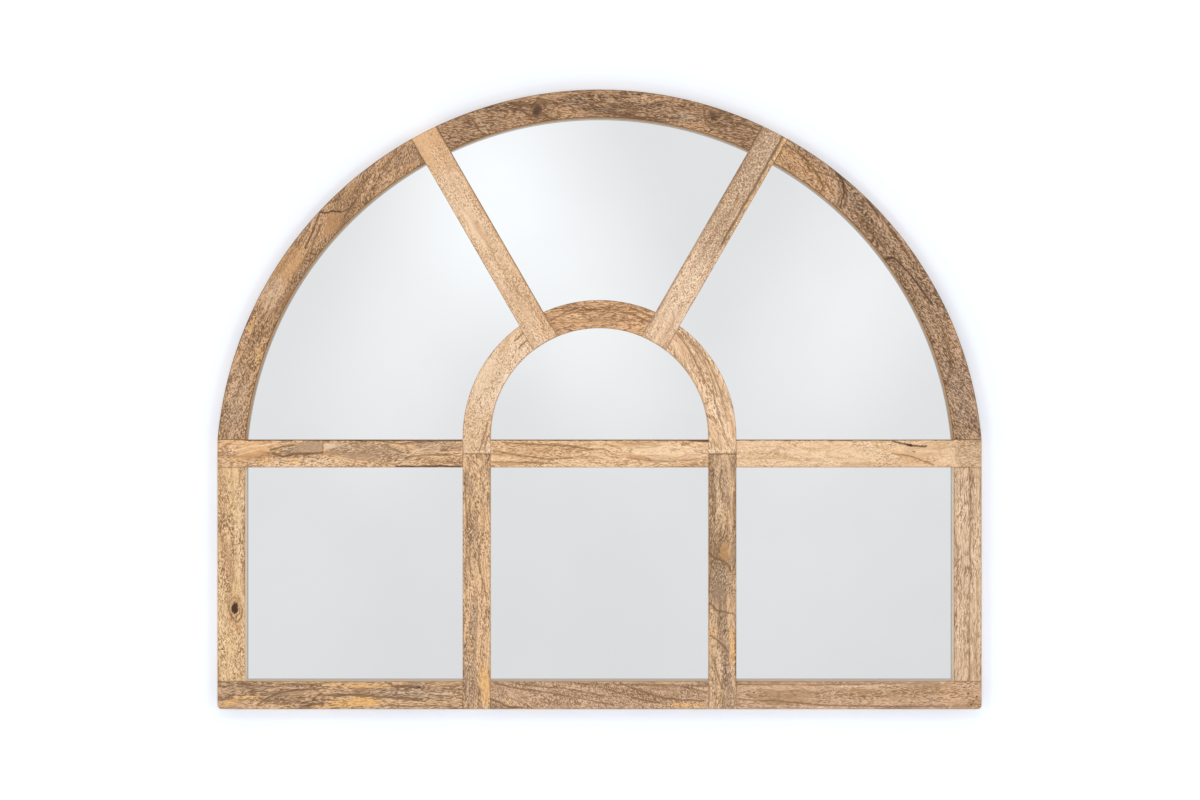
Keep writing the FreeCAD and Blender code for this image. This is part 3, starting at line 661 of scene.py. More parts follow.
# how much each feature hides of what is under it, from 0 to 1
GROWTH_COVER = 0.5
HEART_COVER = 0.8
HEART_RIM_COVER = 0.3
DARK_DASH_COVER = 0.78
PALE_DASH_COVER = 0.65
PORE_COVER = 0.7
STREAK_COVER = 0.85
KNOT_RING_COVER = 0.6
# painted light: how much of the pale wall tone the outside walls and the walls of the openings get
OUTSIDE_WALL_LIGHT_COVER = 0.15
INSIDE_WALL_LIGHT_COVER = 0.9
# the dark edge line: glue line at the seams and painted shade on the eased edges
OUTER_ARCH_EDGE_LINE_AND_SHADE_COVER = 1.0
OTHER_EDGE_LINE_AND_SHADE_COVER = 0.45

# what a board's features share: the material's tree, the settings, the board's row and number, its
# marks by kind, the plain point, the point with the wavering figure, the point with ragged
# outlines, the noise of the fibres, and the fray, a number between about -0.4 and 0.4
Wood = collections.namedtuple(
    "Wood", "tree look board seed marks spot swayed ragged dashes fray")


def along_board(tree, spot, board, seed, size, tilt=0):
    """A point in a board's own directions, counted in a pattern's length, depth and width.

    Each board starts at another place of the pattern, as boards of different trees do.
    """
    inputs = {"Vector": spot, "Location": (seed * 0.731, seed * 0.417, seed * 0.573),
              "Rotation": (0, -math.radians(board.grain + tilt), 0), "Scale": size}
    return add(tree, "Mapping", inputs, vector_type="TEXTURE")


def oval_reach(tree, spot, mark):
    """A point's distance from an oval's middle, where the outline is 1. A plug is squarer."""
    inputs = {"Vector": spot, "Location": (mark.x * MM, PLAN.front, mark.z * MM),
              "Rotation": (0, -math.radians(mark.turn), 0),
              "Scale": (mark.length / 2 * MM, MARK_DEPTH, mark.width / 2 * MM)}
    place = add(tree, "Mapping", inputs, vector_type="TEXTURE")
    if mark.kind == "plug":
        place = add(tree, "VectorMath", {0: place, 1: place}, operation="MULTIPLY")
    return add(tree, "VectorMath", {0: place}, out="Value", operation="LENGTH")


def stretch_reach(tree, spot, width, start, end):
    """A point's distance from a straight stretch between two points, counted in a width."""
    (x1, z1), (x2, z2) = start, end
    half = math.hypot(x2 - x1, z2 - z1) / 2 / width
    inputs = {"Vector": spot, "Location": ((x1 + x2) / 2 * MM, 0, (z1 + z2) / 2 * MM),
              "Rotation": (0, -math.atan2(z2 - z1, x2 - x1), 0),
              "Scale": (width * MM, 1, width * MM)}
    place = add(tree, "Mapping", inputs, vector_type="TEXTURE")
    place = add(tree, "VectorMath", {0: place}, operation="ABSOLUTE")
    place = add(tree, "VectorMath", {0: place, 1: (half, 0, 0)}, operation="SUBTRACT")
    place = add(tree, "VectorMath", {0: place, 1: (0, 0, 0)}, operation="MAXIMUM")
    return add(tree, "VectorMath", {0: place}, out="Value", operation="LENGTH")


def line_reach(tree, spot, line):
    """A point's distance from a line through several points, counted in the line's width."""
    pairs = zip(line.points, line.points[1:])
    return combine(tree, "MINIMUM", (stretch_reach(tree, spot, line.width, *ends) for ends in pairs))


def mark_share(wood, marks, softness):
    """How strongly a point lies in any of some marks: 1 inside one, 0 outside them.

    Their outlines are frayed by the same few millimetres for a large mark as for a small one.
    """
    tree = wood.tree
    shares = []
    for mark in marks:
        if isinstance(mark, Line):
            reach = line_reach(tree, wood.ragged, mark)
            depth = FRAY_DEPTH
        else:
            reach = oval_reach(tree, wood.ragged, mark)
            depth = min(FRAY_DEPTH, FRAY_REACH / (mark.width / 2))
        reach = add(tree, "Math", {0: wood.fray, 1: depth, 2: reach}, operation="MULTIPLY_ADD")
        share = step_between(tree, reach, 1.0 + softness, 1.0 - softness)
        shares.append(product(tree, share, mark.strength))
    return combine(tree, "MAXIMUM", shares)


def around_knot(tree, spot, knot):
    """Draws the figure out round a knot, so that the fibres bow round it."""
    bow = knot._replace(length=BOW_LENGTH * knot.length, width=BOW_WIDTH * knot.width)
    pull = product(tree, step_between(tree, oval_reach(tree, spot, bow), 1.0, 0.0), -BOW_PULL)
    middle = (knot.x * MM, PLAN.front, knot.z * MM)
    away = add(tree, "VectorMath", {0: spot, 1: middle}, operation="SUBTRACT")
    away = add(tree, "VectorMath", {0: away, "Scale": pull}, operation="SCALE")
    return add(tree, "VectorMath", {0: spot, 1: away}, operation="ADD")


def start_board(tree, name, seed, look):
    """The points and the fibre noise that a board's features are drawn with."""
    board = BOARDS[name]
    marks = collections.defaultdict(list)
    for mark in MARKS[name]:
        marks[mark.kind].append(mark)
    spot = add(tree, "TexCoord", out="Object")

    # the whole figure wavers and bows round knots, and marks have ragged outlines
    bowed = spot
    for knot in marks["knot"]:
        bowed = around_knot(tree, bowed, knot)
    place = along_board(tree, spot, board, seed, SWAY_CELL)
    swayed = stirred(tree, bowed, place, SWAY)
    place = along_board(tree, spot, board, seed + 9, RAG_CELL)
    ragged = stirred(tree, spot, place, RAG)

    fibre = board.fine * look.fibre_width
    cell = (board.dash * fibre, 2 * fibre, fibre)
    place = along_board(tree, swayed, board, seed + 3, cell, board.tilt)
    dashes = add(tree, "TexNoise", {"Vector": place, "Scale": 1, "Detail": 2, "Roughness": 0.6,
                                    "Distortion": 0.5})
    fray = add(tree, "Math", {0: dashes, 1: 2.0, 2: -1.0}, operation="MULTIPLY_ADD")
    return Wood(tree, look, board, seed, marks, spot, swayed, ragged, dashes, fray)


def ground_colour(wood):
    """A pale ground with broad darker bands and thin growth lines."""
    tree, board = wood.tree, wood.board
    width = wood.look.figure_width
    place = along_board(tree, wood.swayed, board, wood.seed, (13 * width, 2 * width, width))
    bands = add(tree, "TexNoise", {"Vector": place, "Scale": 1, "Detail": 4, "Roughness": 0.6})
    share = step_between(tree, bands, 0.43, 0.63)
    colour = blend_colour(tree, share, linear(board.pale), linear(board.dark))

    # a growth line lies where a slowly changing field passes an even step
    place = along_board(tree, wood.swayed, board, wood.seed + 2, GROWTH_CELL)
    field = add(tree, "TexNoise", {"Vector": place, "Scale": 1, "Detail": 1.5})
    turns = product(tree, field, wood.look.growth_lines * math.tau)
    waves = add(tree, "Math", {0: turns}, operation="SINE")
    share = product(tree, step_between(tree, waves, 0.4, 1.0), GROWTH_COVER * board.figure)
    return blend_colour(tree, share, colour, wood.look.line_tone)


def add_heartwood(wood, colour):
    """Grey heartwood, and the dark rim where it ends."""
    tree, board = wood.tree, wood.board
    hearts = []
    if board.grey:
        place = along_board(tree, wood.swayed, board, wood.seed + 5, HEART_CELL)
        heart = add(tree, "TexNoise", {"Vector": place, "Scale": 1, "Detail": 4, "Roughness": 0.6})
        edge = 0.72 - 0.39 * board.grey
        hearts.append(step_between(tree, heart, edge - 0.03, edge + 0.04))
    if wood.marks["grey"]:
        hearts.append(mark_share(wood, wood.marks["grey"], 0.14))
    if not hearts:
        return colour
    heart_share = combine(tree, "MAXIMUM", hearts)
    share = product(tree, heart_share, HEART_COVER)
    colour = blend_colour(tree, share, colour, wood.look.grey_tone)
    rim_off = add(tree, "Math", {0: heart_share, 1: 0.4}, operation="SUBTRACT")
    rim_off = add(tree, "Math", {0: rim_off}, operation="ABSOLUTE")
    rim = step_between(tree, rim_off, 0.32, 0.1)
    return blend_colour(tree, product(tree, rim, HEART_RIM_COVER), colour, wood.look.line_tone)


def add_patches(wood, colour):
    """Dark, tan and pale patches, the smooth filler, and yellow spalting."""
    look = wood.look
    # the honey lines include a painted shade line along the left spoke's edge
    patches = (("dark", linear(wood.board.dark), 0.5, 0.8), ("honey", look.honey_tone, 0.3, 0.6),
               ("pale", look.pale_tone, 0.5, 0.5), ("plug", look.plug_tone, 0.06, 1.0),
               ("gold", look.gold_tone, 0.2, 0.95))
    for kind, tone, softness, cover in patches:
        if wood.marks[kind]:
            share = mark_share(wood, wood.marks[kind], softness)
            colour = blend_colour(wood.tree, product(wood.tree, share, cover), colour, tone)
    return colour


def dash_strength(wood):
    """How strong the fibre dashes are: it varies slowly, and the marks say where they are weak
    or strong."""
    tree, board = wood.tree, wood.board
    place = along_board(tree, wood.spot, board, wood.seed + 6, BUSY_CELL)
    busy = add(tree, "TexNoise", {"Vector": place, "Scale": 1, "Detail": 2})
    busy = add(tree, "MapRange", {"Value": busy, "From Min": 0.36, "From Max": 0.6,
                                  "To Min": 0.35 * board.busy, "To Max": board.busy})
    smooth = wood.marks["smooth"] + wood.marks["plug"]
    if smooth:
        share = mark_share(wood, smooth, 0.3)
        calm = add(tree, "Math", {0: share, 1: -0.75, 2: 1.0}, operation="MULTIPLY_ADD")
        busy = product(tree, busy, calm)
    if wood.marks["rough"]:
        share = mark_share(wood, wood.marks["rough"], 0.5)
        busy = add(tree, "Math", {0: busy, 1: share}, operation="ADD", use_clamp=True)
    return busy


def add_dashes(wood, colour, busy):
    """Short wavy fibre dashes, dark and pale."""
    tree, look = wood.tree, wood.look
    pale, dark = linear(wood.board.pale), linear(wood.board.dark)
    deep_tone = tuple(value * share for value, share in zip(dark, look.dash_shade))
    light_tone = tuple(0.65 * value + 0.35 * glint for value, glint in zip(pale, look.pale_tone))
    dark_share = product(tree, step_between(tree, wood.dashes, 0.51, 0.59), busy, DARK_DASH_COVER)
    pale_share = product(tree, step_between(tree, wood.dashes, 0.49, 0.41), busy, PALE_DASH_COVER)
    colour = blend_colour(tree, dark_share, colour, deep_tone)
    return blend_colour(tree, pale_share, colour, light_tone)


def pore_share(wood):
    """Where the pores are. Real ones are 0.2 mm wide, too fine to show, and these about 1 mm."""
    place = along_board(wood.tree, wood.swayed, wood.board, wood.seed + 4, PORE_CELL)
    cells = add(wood.tree, "TexVoronoi", {"Vector": place, "Scale": 1}, feature="F1")
    return step_between(wood.tree, cells, 0.32, 0.16)


def add_knot_rings(wood, colour):
    """A dark ring round each knot. Returns the knots' own shares too, broken up by the fibres."""
    tree = wood.tree
    shares = []
    for knot in wood.marks["knot"]:
        reach = oval_reach(tree, wood.ragged, knot)
        ripple = add(tree, "Math", {0: product(tree, reach, 4.0)}, operation="SINE")
        ring = product(tree, step_between(tree, ripple, 0.1, 0.9),
                       step_between(tree, reach, 3.2, 1.0), KNOT_RING_COVER)
        colour = blend_colour(tree, ring, colour, wood.look.line_tone)
        reach = add(tree, "Math", {0: wood.fray, 1: 1.4, 2: reach}, operation="MULTIPLY_ADD")
        shares.append(product(tree, step_between(tree, reach, 1.4, 0.9), knot.strength))
    return colour, shares


def add_wall_light_and_edge_shade(wood, name, colour):
    """Painted light on the walls of the openings: the board's pale wall tone where the lamps barely
    reach, and a little of it on the outside walls. The dark line along the face's edges is the glue
    line at the seams and painted shade on the eased edges."""
    tree, look = wood.tree, wood.look
    normal = add(tree, "NewGeometry", out="Normal")
    facing = add(tree, "SeparateXYZ", {0: normal}, out="Y")
    facing = add(tree, "Math", {0: facing}, operation="ABSOLUTE")
    # painted light: the walls facing sideways get the board's pale wall tone, most of it inside the
    # openings
    wall_share = step_between(tree, facing, 0.6, 0.3)
    outside = wall_distance(tree, wood.spot, outline_walls(name))
    inside = step_between(tree, outside, 0.5 * MM, 2 * MM)
    painted_wall_light = add(tree, "Math", {0: inside, 1: INSIDE_WALL_LIGHT_COVER - OUTSIDE_WALL_LIGHT_COVER,
                                2: OUTSIDE_WALL_LIGHT_COVER}, operation="MULTIPLY_ADD")
    share = product(tree, wall_share, painted_wall_light)
    colour = blend_colour(tree, share, colour, linear(wood.board.wall))
    # the dark edge line, on the face only: glue line at the seams and painted shade on the eased edges
    rim_distance = wall_distance(tree, wood.spot, member_walls(name))
    face_share = add(tree, "Math", {0: 1.0, 1: wall_share}, operation="SUBTRACT")
    edge_line_and_shade_share = step_between(tree, rim_distance, look.edge_width, 0.2 * look.edge_width)
    edge_line_and_shade_share = product(tree, edge_line_and_shade_share, face_share)
    cover = OUTER_ARCH_EDGE_LINE_AND_SHADE_COVER if name.startswith("outer_arch") else OTHER_EDGE_LINE_AND_SHADE_COVER
    return blend_colour(tree, product(tree, edge_line_and_shade_share, cover), colour, look.line_tone)


def mango_board(name, seed, look):
    """Plain-sawn mango, sanded and oiled matt: pale brown ground with darker bands, growth
    lines, short wavy fibre dashes and pores, grey heartwood with dark rims, and spalt yellow."""
    material, tree = start_material("oiled_mango_" + name)
    wood = start_board(tree, name, seed, look)
    colour = ground_colour(wood)
    colour = add_heartwood(wood, colour)
    colour = add_patches(wood, colour)
    busy = dash_strength(wood)
    colour = add_dashes(wood, colour, busy)
    pores = pore_share(wood)
    colour = blend_colour(tree, product(tree, pores, busy, PORE_COVER), colour, look.line_tone)
    # the streak lines include painted shade along the spokes' edges toward the middle
    if wood.marks["streak"]:
        share = mark_share(wood, wood.marks["streak"], 0.4)
        colour = blend_colour(tree, product(tree, share, STREAK_COVER), colour, look.line_tone)
    colour, hollows_and_edge_shade = add_knot_rings(wood, colour)
    # the crack marks include painted shade along the middle rail's top edge
    if wood.marks["crack"]:
        hollows_and_edge_shade.append(mark_share(wood, wood.marks["crack"], 0.4))
    deep = combine(tree, "MAXIMUM", hollows_and_edge_shade)
    if deep is not None:
        colour = blend_colour(tree, deep, colour, look.crack_tone)
    colour = add_wall_light_and_edge_shade(wood, name, colour)
    colour = add(tree, "VectorMath", {0: colour, 1: look.oil_tone}, operation="MULTIPLY")

    # dashes stand up a little, and pores, knots and cracks lie below the face
    height = add(tree, "Math", {0: wood.dashes, 1: 0.5}, operation="MULTIPLY")
    height = add(tree, "Math", {0: height, 1: product(tree, pores, 0.4)}, operation="SUBTRACT")
    if deep is not None:
        height = add(tree, "Math", {0: height, 1: deep}, operation="SUBTRACT")
    normal = add(tree, "Bump", {"Height": height, "Strength": 0.5, "Distance": 0.5 * MM})
    rough = add(tree, "MapRange", {"Value": wood.dashes, "From Min": 0.3, "From Max": 0.7,
                                   "To Min": 0.5, "To Max": 0.68})
    close_material(tree, Base_Color=colour, Roughness=rough, Normal=normal, IOR=1.47)
    return material


class MIRROR_OT_frame_members(bpy.types.Operator):
    """Gives each of the eighteen frame members its own board of mango wood"""
    bl_idname = "mirror.frame_members"
    bl_label = "Frame members"

    def execute(self, context):
        look = context.scene.mango_wood
        for seed, name in enumerate(BOARDS, start=1):
            wear(name, mango_board(name, seed, look))
        return {"FINISHED"}


# ---- silvered glass ----
CLOUD_SIZE = 0.12            # size of the faint clouds in the silvering, in metres
CLOUD_SHADE = 0.985          # how bright the silvering is in a cloud
LIP_SHADE_SHARP_EDGE = 0.3 * MM        # half the softness of the painted shade line beside the wood
LIP_SHADE_SOFT_EDGE = 0.4 * MM         # and away from it


def silvered_glass(name, seed, look):
    """Float glass, 3 mm, silvered at the back: a clean cool reflection, faintly clouded, with a
    painted grey line along the outer frame that stands for the lip's shaded back reflected in the
    glass."""
    material, tree = start_material("silvered_float_glass_" + name)
    spot = add(tree, "TexCoord", out="Object")
    place = add(tree, "Mapping", {"Vector": spot, "Location": (seed, 0, seed),
                                  "Scale": (CLOUD_SIZE,) * 3}, vector_type="TEXTURE")
    cloud = add(tree, "TexNoise", {"Vector": place, "Scale": 1, "Detail": 2})
    cloud = step_between(tree, cloud, 0.3, 0.7)
    faint = tuple(value * CLOUD_SHADE for value in look.silver_tone)
    colour = blend_colour(tree, cloud, look.silver_tone, faint)
    # painted shade: a grey line beside the outer frame, for the lip's shaded back seen reflected in the
    # glass
    walls = lip_shade_walls(name)
    if walls:
        distance = wall_distance(tree, spot, walls)
        near = look.painted_lip_shade_gap
        far = near + look.painted_lip_shade_width
        begin = step_between(tree, distance, near - LIP_SHADE_SHARP_EDGE, near + LIP_SHADE_SHARP_EDGE)
        end = step_between(tree, distance, far + LIP_SHADE_SOFT_EDGE, far - LIP_SHADE_SOFT_EDGE)
        colour = blend_colour(tree, product(tree, begin, end), colour, look.painted_lip_shade_tone)
    close_material(tree, Base_Color=colour, Metallic=1.0, Roughness=0.02)
    return material


class MIRROR_OT_panes(bpy.types.Operator):
    """Silvers the seven mirror panes"""
    bl_idname = "mirror.panes"
    bl_label = "Mirror panes"

    def execute(self, context):
        for seed, name in enumerate(PANES):
            wear("pane_" + name, silvered_glass(name, seed, context.scene.silvered_glass))
        return {"FINISHED"}


# ---- what is at the back ----
def screen_ripple(tree, spot, turn, pitch):
    """Even ripples across one direction, as one set of a screen's wires presses them."""
    place = add(tree, "Mapping", {"Vector": spot, "Rotation": (0, turn, 0)},
                vector_type="TEXTURE")
    # the wave texture has a period of pi / 10 at a scale of 1
    return add(tree, "TexWave", {"Vector": place, "Scale": math.pi / 10 / pitch,
                                 "Distortion": 0}, out=1, bands_direction="X")


def pressed_hardboard(look):
    """Hardboard, hot-pressed wood pulp with its screen side out: brown felted fibres under a
    fine square mesh of dents."""
    material, tree = start_material("pressed_hardboard")
    spot = add(tree, "TexCoord", out="Object")
    place = add(tree, "Mapping", {"Vector": spot, "Scale": (5 * MM, 5 * MM, 5 * MM)},
                vector_type="TEXTURE")
    pulp = add(tree, "TexNoise", {"Vector": place, "Scale": 1, "Detail": 5, "Roughness": 0.7,
                                  "Distortion": 1.5})
    dark = tuple(value * 0.55 for value in look.hardboard_tone)
    pale = tuple(min(1.0, value * 1.35) for value in look.hardboard_tone)
    colour = blend_colour(tree, step_between(tree, pulp, 0.3, 0.7), dark, look.hardboard_tone)
    place = add(tree, "Mapping", {"Vector": spot, "Scale": (3 * MM, 3 * MM, 0.8 * MM),
                                  "Rotation": (0, 0.6, 0)}, vector_type="TEXTURE")
    straws = add(tree, "TexNoise", {"Vector": place, "Scale": 1, "Detail": 1, "Distortion": 2})
    straw_share = product(tree, step_between(tree, straws, 0.62, 0.75), 0.6)
    colour = blend_colour(tree, straw_share, colour, pale)
    dents = combine(tree, "MULTIPLY", (screen_ripple(tree, spot, turn, look.screen_pitch)
                                       for turn in (0, math.pi / 2)))
    colour = blend_colour(tree, product(tree, dents, 0.25), colour, dark)
    normal = add(tree, "Bump", {"Height": dents, "Strength": 0.6, "Distance": 0.3 * MM})
    close_material(tree, Base_Color=colour, Roughness=0.72, Normal=normal, IOR=1.5)
    return material


class MIRROR_OT_backboards(bpy.types.Operator):
    """Gives the seven backing boards their pressed hardboard"""
    bl_idname = "mirror.backboards"
    bl_label = "Backing boards"

    def execute(self, context):
        board = pressed_hardboard(context.scene.back_finish)
        for name in PANES:
            wear("backboard_" + name, board)
        return {"FINISHED"}


def turned_beech(look):
    """Beech, turned into dowel rod: pinkish tan with short darker ray flecks."""
    material, tree = start_material("turned_beech")
    spot = add(tree, "TexCoord", out="Object")
    place = add(tree, "Mapping", {"Vector": spot, "Scale": (3 * MM, 1.2 * MM, 3 * MM)},
                vector_type="TEXTURE")
    flecks = add(tree, "TexVoronoi", {"Vector": place, "Scale": 1}, feature="F1")
    share = step_between(tree, flecks, 0.4, 0.2)
    dark = tuple(value * 0.6 for value in look.beech_tone)
    colour = blend_colour(tree, product(tree, share, 0.7), look.beech_tone, dark)
    close_material(tree, Base_Color=colour, Roughness=0.6, IOR=1.5)
    return material


class MIRROR_OT_dowels(bpy.types.Operator):
    """Gives the joint dowels their beech"""
    bl_idname = "mirror.dowels"
    bl_label = "Joint dowels"

    def execute(self, context):
        wear("joint_dowels", turned_beech(context.scene.back_finish))
        return {"FINISHED"}


def zinc_plate(name, look, cloud_size, shade):
    """Steel, pressed or drawn and then zinc plated: bluish grey metal with soft clouds in the
    plating and fine scuffs."""
    material, tree = start_material(name)
    spot = add(tree, "TexCoord", out="Object")
    place = add(tree, "Mapping", {"Vector": spot, "Scale": (cloud_size,) * 3},
                vector_type="TEXTURE")
    cloud = add(tree, "TexNoise", {"Vector": place, "Scale": 1, "Detail": 4, "Roughness": 0.65})
    share = step_between(tree, cloud, 0.35, 0.68)
    bright = tuple(value * shade for value in look.zinc_tone)
    dull = tuple(value * 0.72 for value in bright)
    colour = blend_colour(tree, share, bright, dull)
    place = add(tree, "Mapping", {"Vector": spot, "Scale": (6 * MM, 6 * MM, 0.4 * MM),
                                  "Rotation": (0, 0.5, 0)}, vector_type="TEXTURE")
    scuffs = add(tree, "TexNoise", {"Vector": place, "Scale": 1, "Detail": 2})
    rough = add(tree, "MapRange", {"Value": scuffs, "From Min": 0.35, "From Max": 0.65,
                                   "To Min": 0.24, "To Max": 0.42})
    normal = add(tree, "Bump", {"Height": scuffs, "Strength": 0.15, "Distance": 0.1 * MM})
    close_material(tree, Base_Color=colour, Metallic=1.0, Roughness=rough, Normal=normal)
    return material


class MIRROR_OT_hangers(bpy.types.Operator):
    """Plates the strap hangers, their rings, the screws and the sprigs"""
    bl_idname = "mirror.hangers"
    bl_label = "Hangers and pins"

    def execute(self, context):
        look = context.scene.back_finish
        strap = zinc_plate("pressed_zinc_plate", look, 4 * MM, 1.0)
        wire = zinc_plate("drawn_zinc_plated_wire", look, 2 * MM, 0.92)
        pin = zinc_plate("bare_steel_pin", look, 2 * MM, 0.6)
        for word in SIDES:
            wear("hanger_strap_" + word, strap)
            wear("hanger_ring_" + word, wire)
        wear("hanger_screws", wire)
        wear("backboard_sprigs", pin)
        return {"FINISHED"}


def moulded_rubber(look):
    """Rubber, moulded: nearly black and matt, with a fine sandy grain."""
    material, tree = start_material("moulded_rubber")
    spot = add(tree, "TexCoord", out="Object")
    place = add(tree, "Mapping", {"Vector": spot, "Scale": (0.6 * MM,) * 3},
                vector_type="TEXTURE")
    grit = add(tree, "TexNoise", {"Vector": place, "Scale": 1, "Detail": 2})
    worn = tuple(value * 1.9 for value in look.rubber_tone)
    colour = blend_colour(tree, step_between(tree, grit, 0.5, 0.75), look.rubber_tone, worn)
    normal = add(tree, "Bump", {"Height": grit, "Strength": 0.4, "Distance": 0.1 * MM})
    close_material(tree, Base_Color=colour, Roughness=0.78, Normal=normal, IOR=1.52)
    return material


class MIRROR_OT_wall_pads(bpy.types.Operator):
    """Gives the two wall pads their rubber"""
    bl_idname = "mirror.wall_pads"
    bl_label = "Wall pads"

    def execute(self, context):
        rubber = moulded_rubber(context.scene.back_finish)
        for word in SIDES:
            wear("wall_pad_" + word, rubber)
        return {"FINISHED"}


# ---- the studio ----
# a soft light seen in the panes: its slope across and up from the mirror, the direction of its
# length in degrees, half its length and width as slopes, and its strength
SoftLight = collections.namedtuple("SoftLight", "across up turn half_length half_width strength")
SOFT_LIGHTS = (
    SoftLight(-0.066, 0.044, 68, 0.080, 0.034, 0.13),
    SoftLight(-0.030, 0.076, -64, 0.080, 0.040, 0.19),
    SoftLight(0.004, 0.014, -68, 0.050, 0.030, 0.05),
    SoftLight(0.100, 0.040, 58, 0.065, 0.036, 0.13),
    SoftLight(-0.128, -0.094, 80, 0.050, 0.035, 0.03),
    SoftLight(0.074, -0.068, 80, 0.070, 0.035, 0.03),
)
# the room that the panes reflect is dimmer low down: two slopes up, and the level at each
LOW_SLOPE, LEVEL_SLOPE = -0.12, 0.0
LOW_LEVEL, HIGH_LEVEL = 0.79, 0.845
LEAST_AHEAD = 0.02           # keeps a slope finite where a ray runs sideways
STAGE_REACH = 6.0            # how far the wall and the floor run from the middle, in metres
# one lamp behind the wall lights the back for the views from there
BACK_LAMP_PLACE = (-1.6, 3.2, 2.2)
BACK_LAMP_SIZE = 2.0
BACK_LAMP_POWER = 60


def sheet_mesh(name, corner, along, up, steps=24):
    """A flat rectangle: corner + s * along + t * up, for s and t on an even grid from 0 to 1."""
    s, t = np.meshgrid(np.linspace(0, 1, steps + 1), np.linspace(0, 1, steps + 1))
    points = np.array(corner) + s[..., None] * np.array(along) + t[..., None] * np.array(up)
    index = np.arange((steps + 1) ** 2).reshape(steps + 1, steps + 1)
    faces = np.stack([index[:-1, :-1], index[:-1, 1:], index[1:, 1:], index[1:, :-1]], axis=-1)
    mesh = bpy.data.meshes.new(name)
    mesh.from_pydata(points.reshape(-1, 3).tolist(), [], faces.reshape(-1, 4).tolist())
    sheet = bpy.data.objects.new(name, mesh)
    bpy.context.scene.collection.objects.link(sheet)
    return sheet


def white_paint(name, gain, one_sided):
    """Matt white emulsion, rolled and slightly uneven, and brighter than real for the camera."""
    material, tree = start_material(name)
    spot = add(tree, "TexCoord", out="Object")
    nap = add(tree, "TexNoise", {"Vector": spot, "Scale": 6, "Detail": 3})
    colour = blend_colour(tree, nap, linear("eaf0f8"), linear("eef3fa"))
    seen = add(tree, "LightPath", out="Is Camera Ray")
    lift = add(tree, "Math", {0: seen, 1: gain - 1.0, 2: 1.0}, operation="MULTIPLY_ADD")
    colour = add(tree, "VectorMath", {0: colour, "Scale": lift}, operation="SCALE")
    shader = add(tree, "BsdfDiffuse", {"Color": colour})
    if one_sided:
        behind = add(tree, "NewGeometry", out="Backfacing")
        clear = add(tree, "BsdfTransparent")
        shader = add(tree, "MixShader", {0: behind, 1: shader, 2: clear})
    add(tree, "OutputMaterial", {"Surface": shader})
    return material


def add_lamp(name, place, target, size, power):
    """A square soft lamp that lights but isn't seen in the panes."""
    lamp = bpy.data.lights.new(name, "AREA")
    lamp.size = size
    lamp.energy = power
    holder = bpy.data.objects.new(name, lamp)
    bpy.context.scene.collection.objects.link(holder)
    direction = np.array(target, float) - np.array(place, float)
    level = math.hypot(direction[0], direction[1])
    tilt = math.atan2(level, -direction[2])
    turn = math.atan2(-direction[0], direction[1])
    holder.location = place
    holder.rotation_euler = (tilt, 0, turn)
    holder.visible_camera = False
    holder.visible_glossy = False


def glow_share(tree, slope, light):
    """How strongly one soft light shines in a direction."""
    inputs = {"Vector": slope, "Location": (light.across, 0, light.up),
              "Rotation": (0, -math.radians(light.turn), 0),
              "Scale": (light.half_length, 1, light.half_width)}
    place = add(tree, "Mapping", inputs, vector_type="TEXTURE")
    reach = add(tree, "VectorMath", {0: place}, out="Value", operation="LENGTH")
    return product(tree, step_between(tree, reach, 1.5, 0.0), light.strength)


def room_light(look):
    """White for the camera, even light for the object, and soft lights for the panes."""
    world = bpy.data.worlds.new("studio")
    world.use_nodes = True
    tree = world.node_tree
    tree.nodes.clear()
    way = add(tree, "TexCoord", out="Generated")
    parts = add(tree, "SeparateXYZ", {0: way}).node
    ahead = add(tree, "Math", {0: parts.outputs["Y"], 1: -1.0}, operation="MULTIPLY")
    ahead = add(tree, "Math", {0: ahead, 1: LEAST_AHEAD}, operation="MAXIMUM")
    across = add(tree, "Math", {0: parts.outputs["X"], 1: ahead}, operation="DIVIDE")
    up = add(tree, "Math", {0: parts.outputs["Z"], 1: ahead}, operation="DIVIDE")
    slope = add(tree, "CombineXYZ", {0: across, 2: up})
    level = add(tree, "MapRange", {"Value": up, "From Min": LOW_SLOPE, "From Max": LEVEL_SLOPE,
                                   "To Min": LOW_LEVEL, "To Max": HIGH_LEVEL})
    glows = combine(tree, "ADD", (glow_share(tree, slope, light) for light in SOFT_LIGHTS))
    tinted = [add(tree, "Math", {0: glows, 1: share, 2: level}, operation="MULTIPLY_ADD")
              for share in look.soft_light_tint]
    seen = add(tree, "CombineColor", dict(enumerate(tinted)))
    even = opaque((look.ambient, look.ambient, look.ambient))
    path = add(tree, "LightPath").node
    colour = add(tree, "Mix", {0: path.outputs["Is Glossy Ray"], 6: even, 7: seen},
                 out=2, data_type="RGBA")
    colour = add(tree, "Mix", {0: path.outputs["Is Camera Ray"], 6: colour,
                               7: opaque((1, 1, 1))}, out=2, data_type="RGBA")
    light = add(tree, "Background", {"Color": colour, "Strength": 1.0})
    add(tree, "OutputWorld", {"Surface": light})
    bpy.context.scene.world = world


def add_camera(look):
    """The photograph's view: level, square on, centred on the picture."""
    lens = bpy.data.cameras.new("camera")
    lens.sensor_fit = "HORIZONTAL"
    lens.lens = lens.sensor_width * look.camera_distance / look.picture_width
    camera = bpy.data.objects.new("camera", lens)
    camera.location = (look.camera_offset, PLAN.front - look.camera_distance, look.camera_height)
    camera.rotation_euler = (math.pi / 2, 0, 0)
    bpy.context.scene.collection.objects.link(camera)
    bpy.context.scene.camera = camera


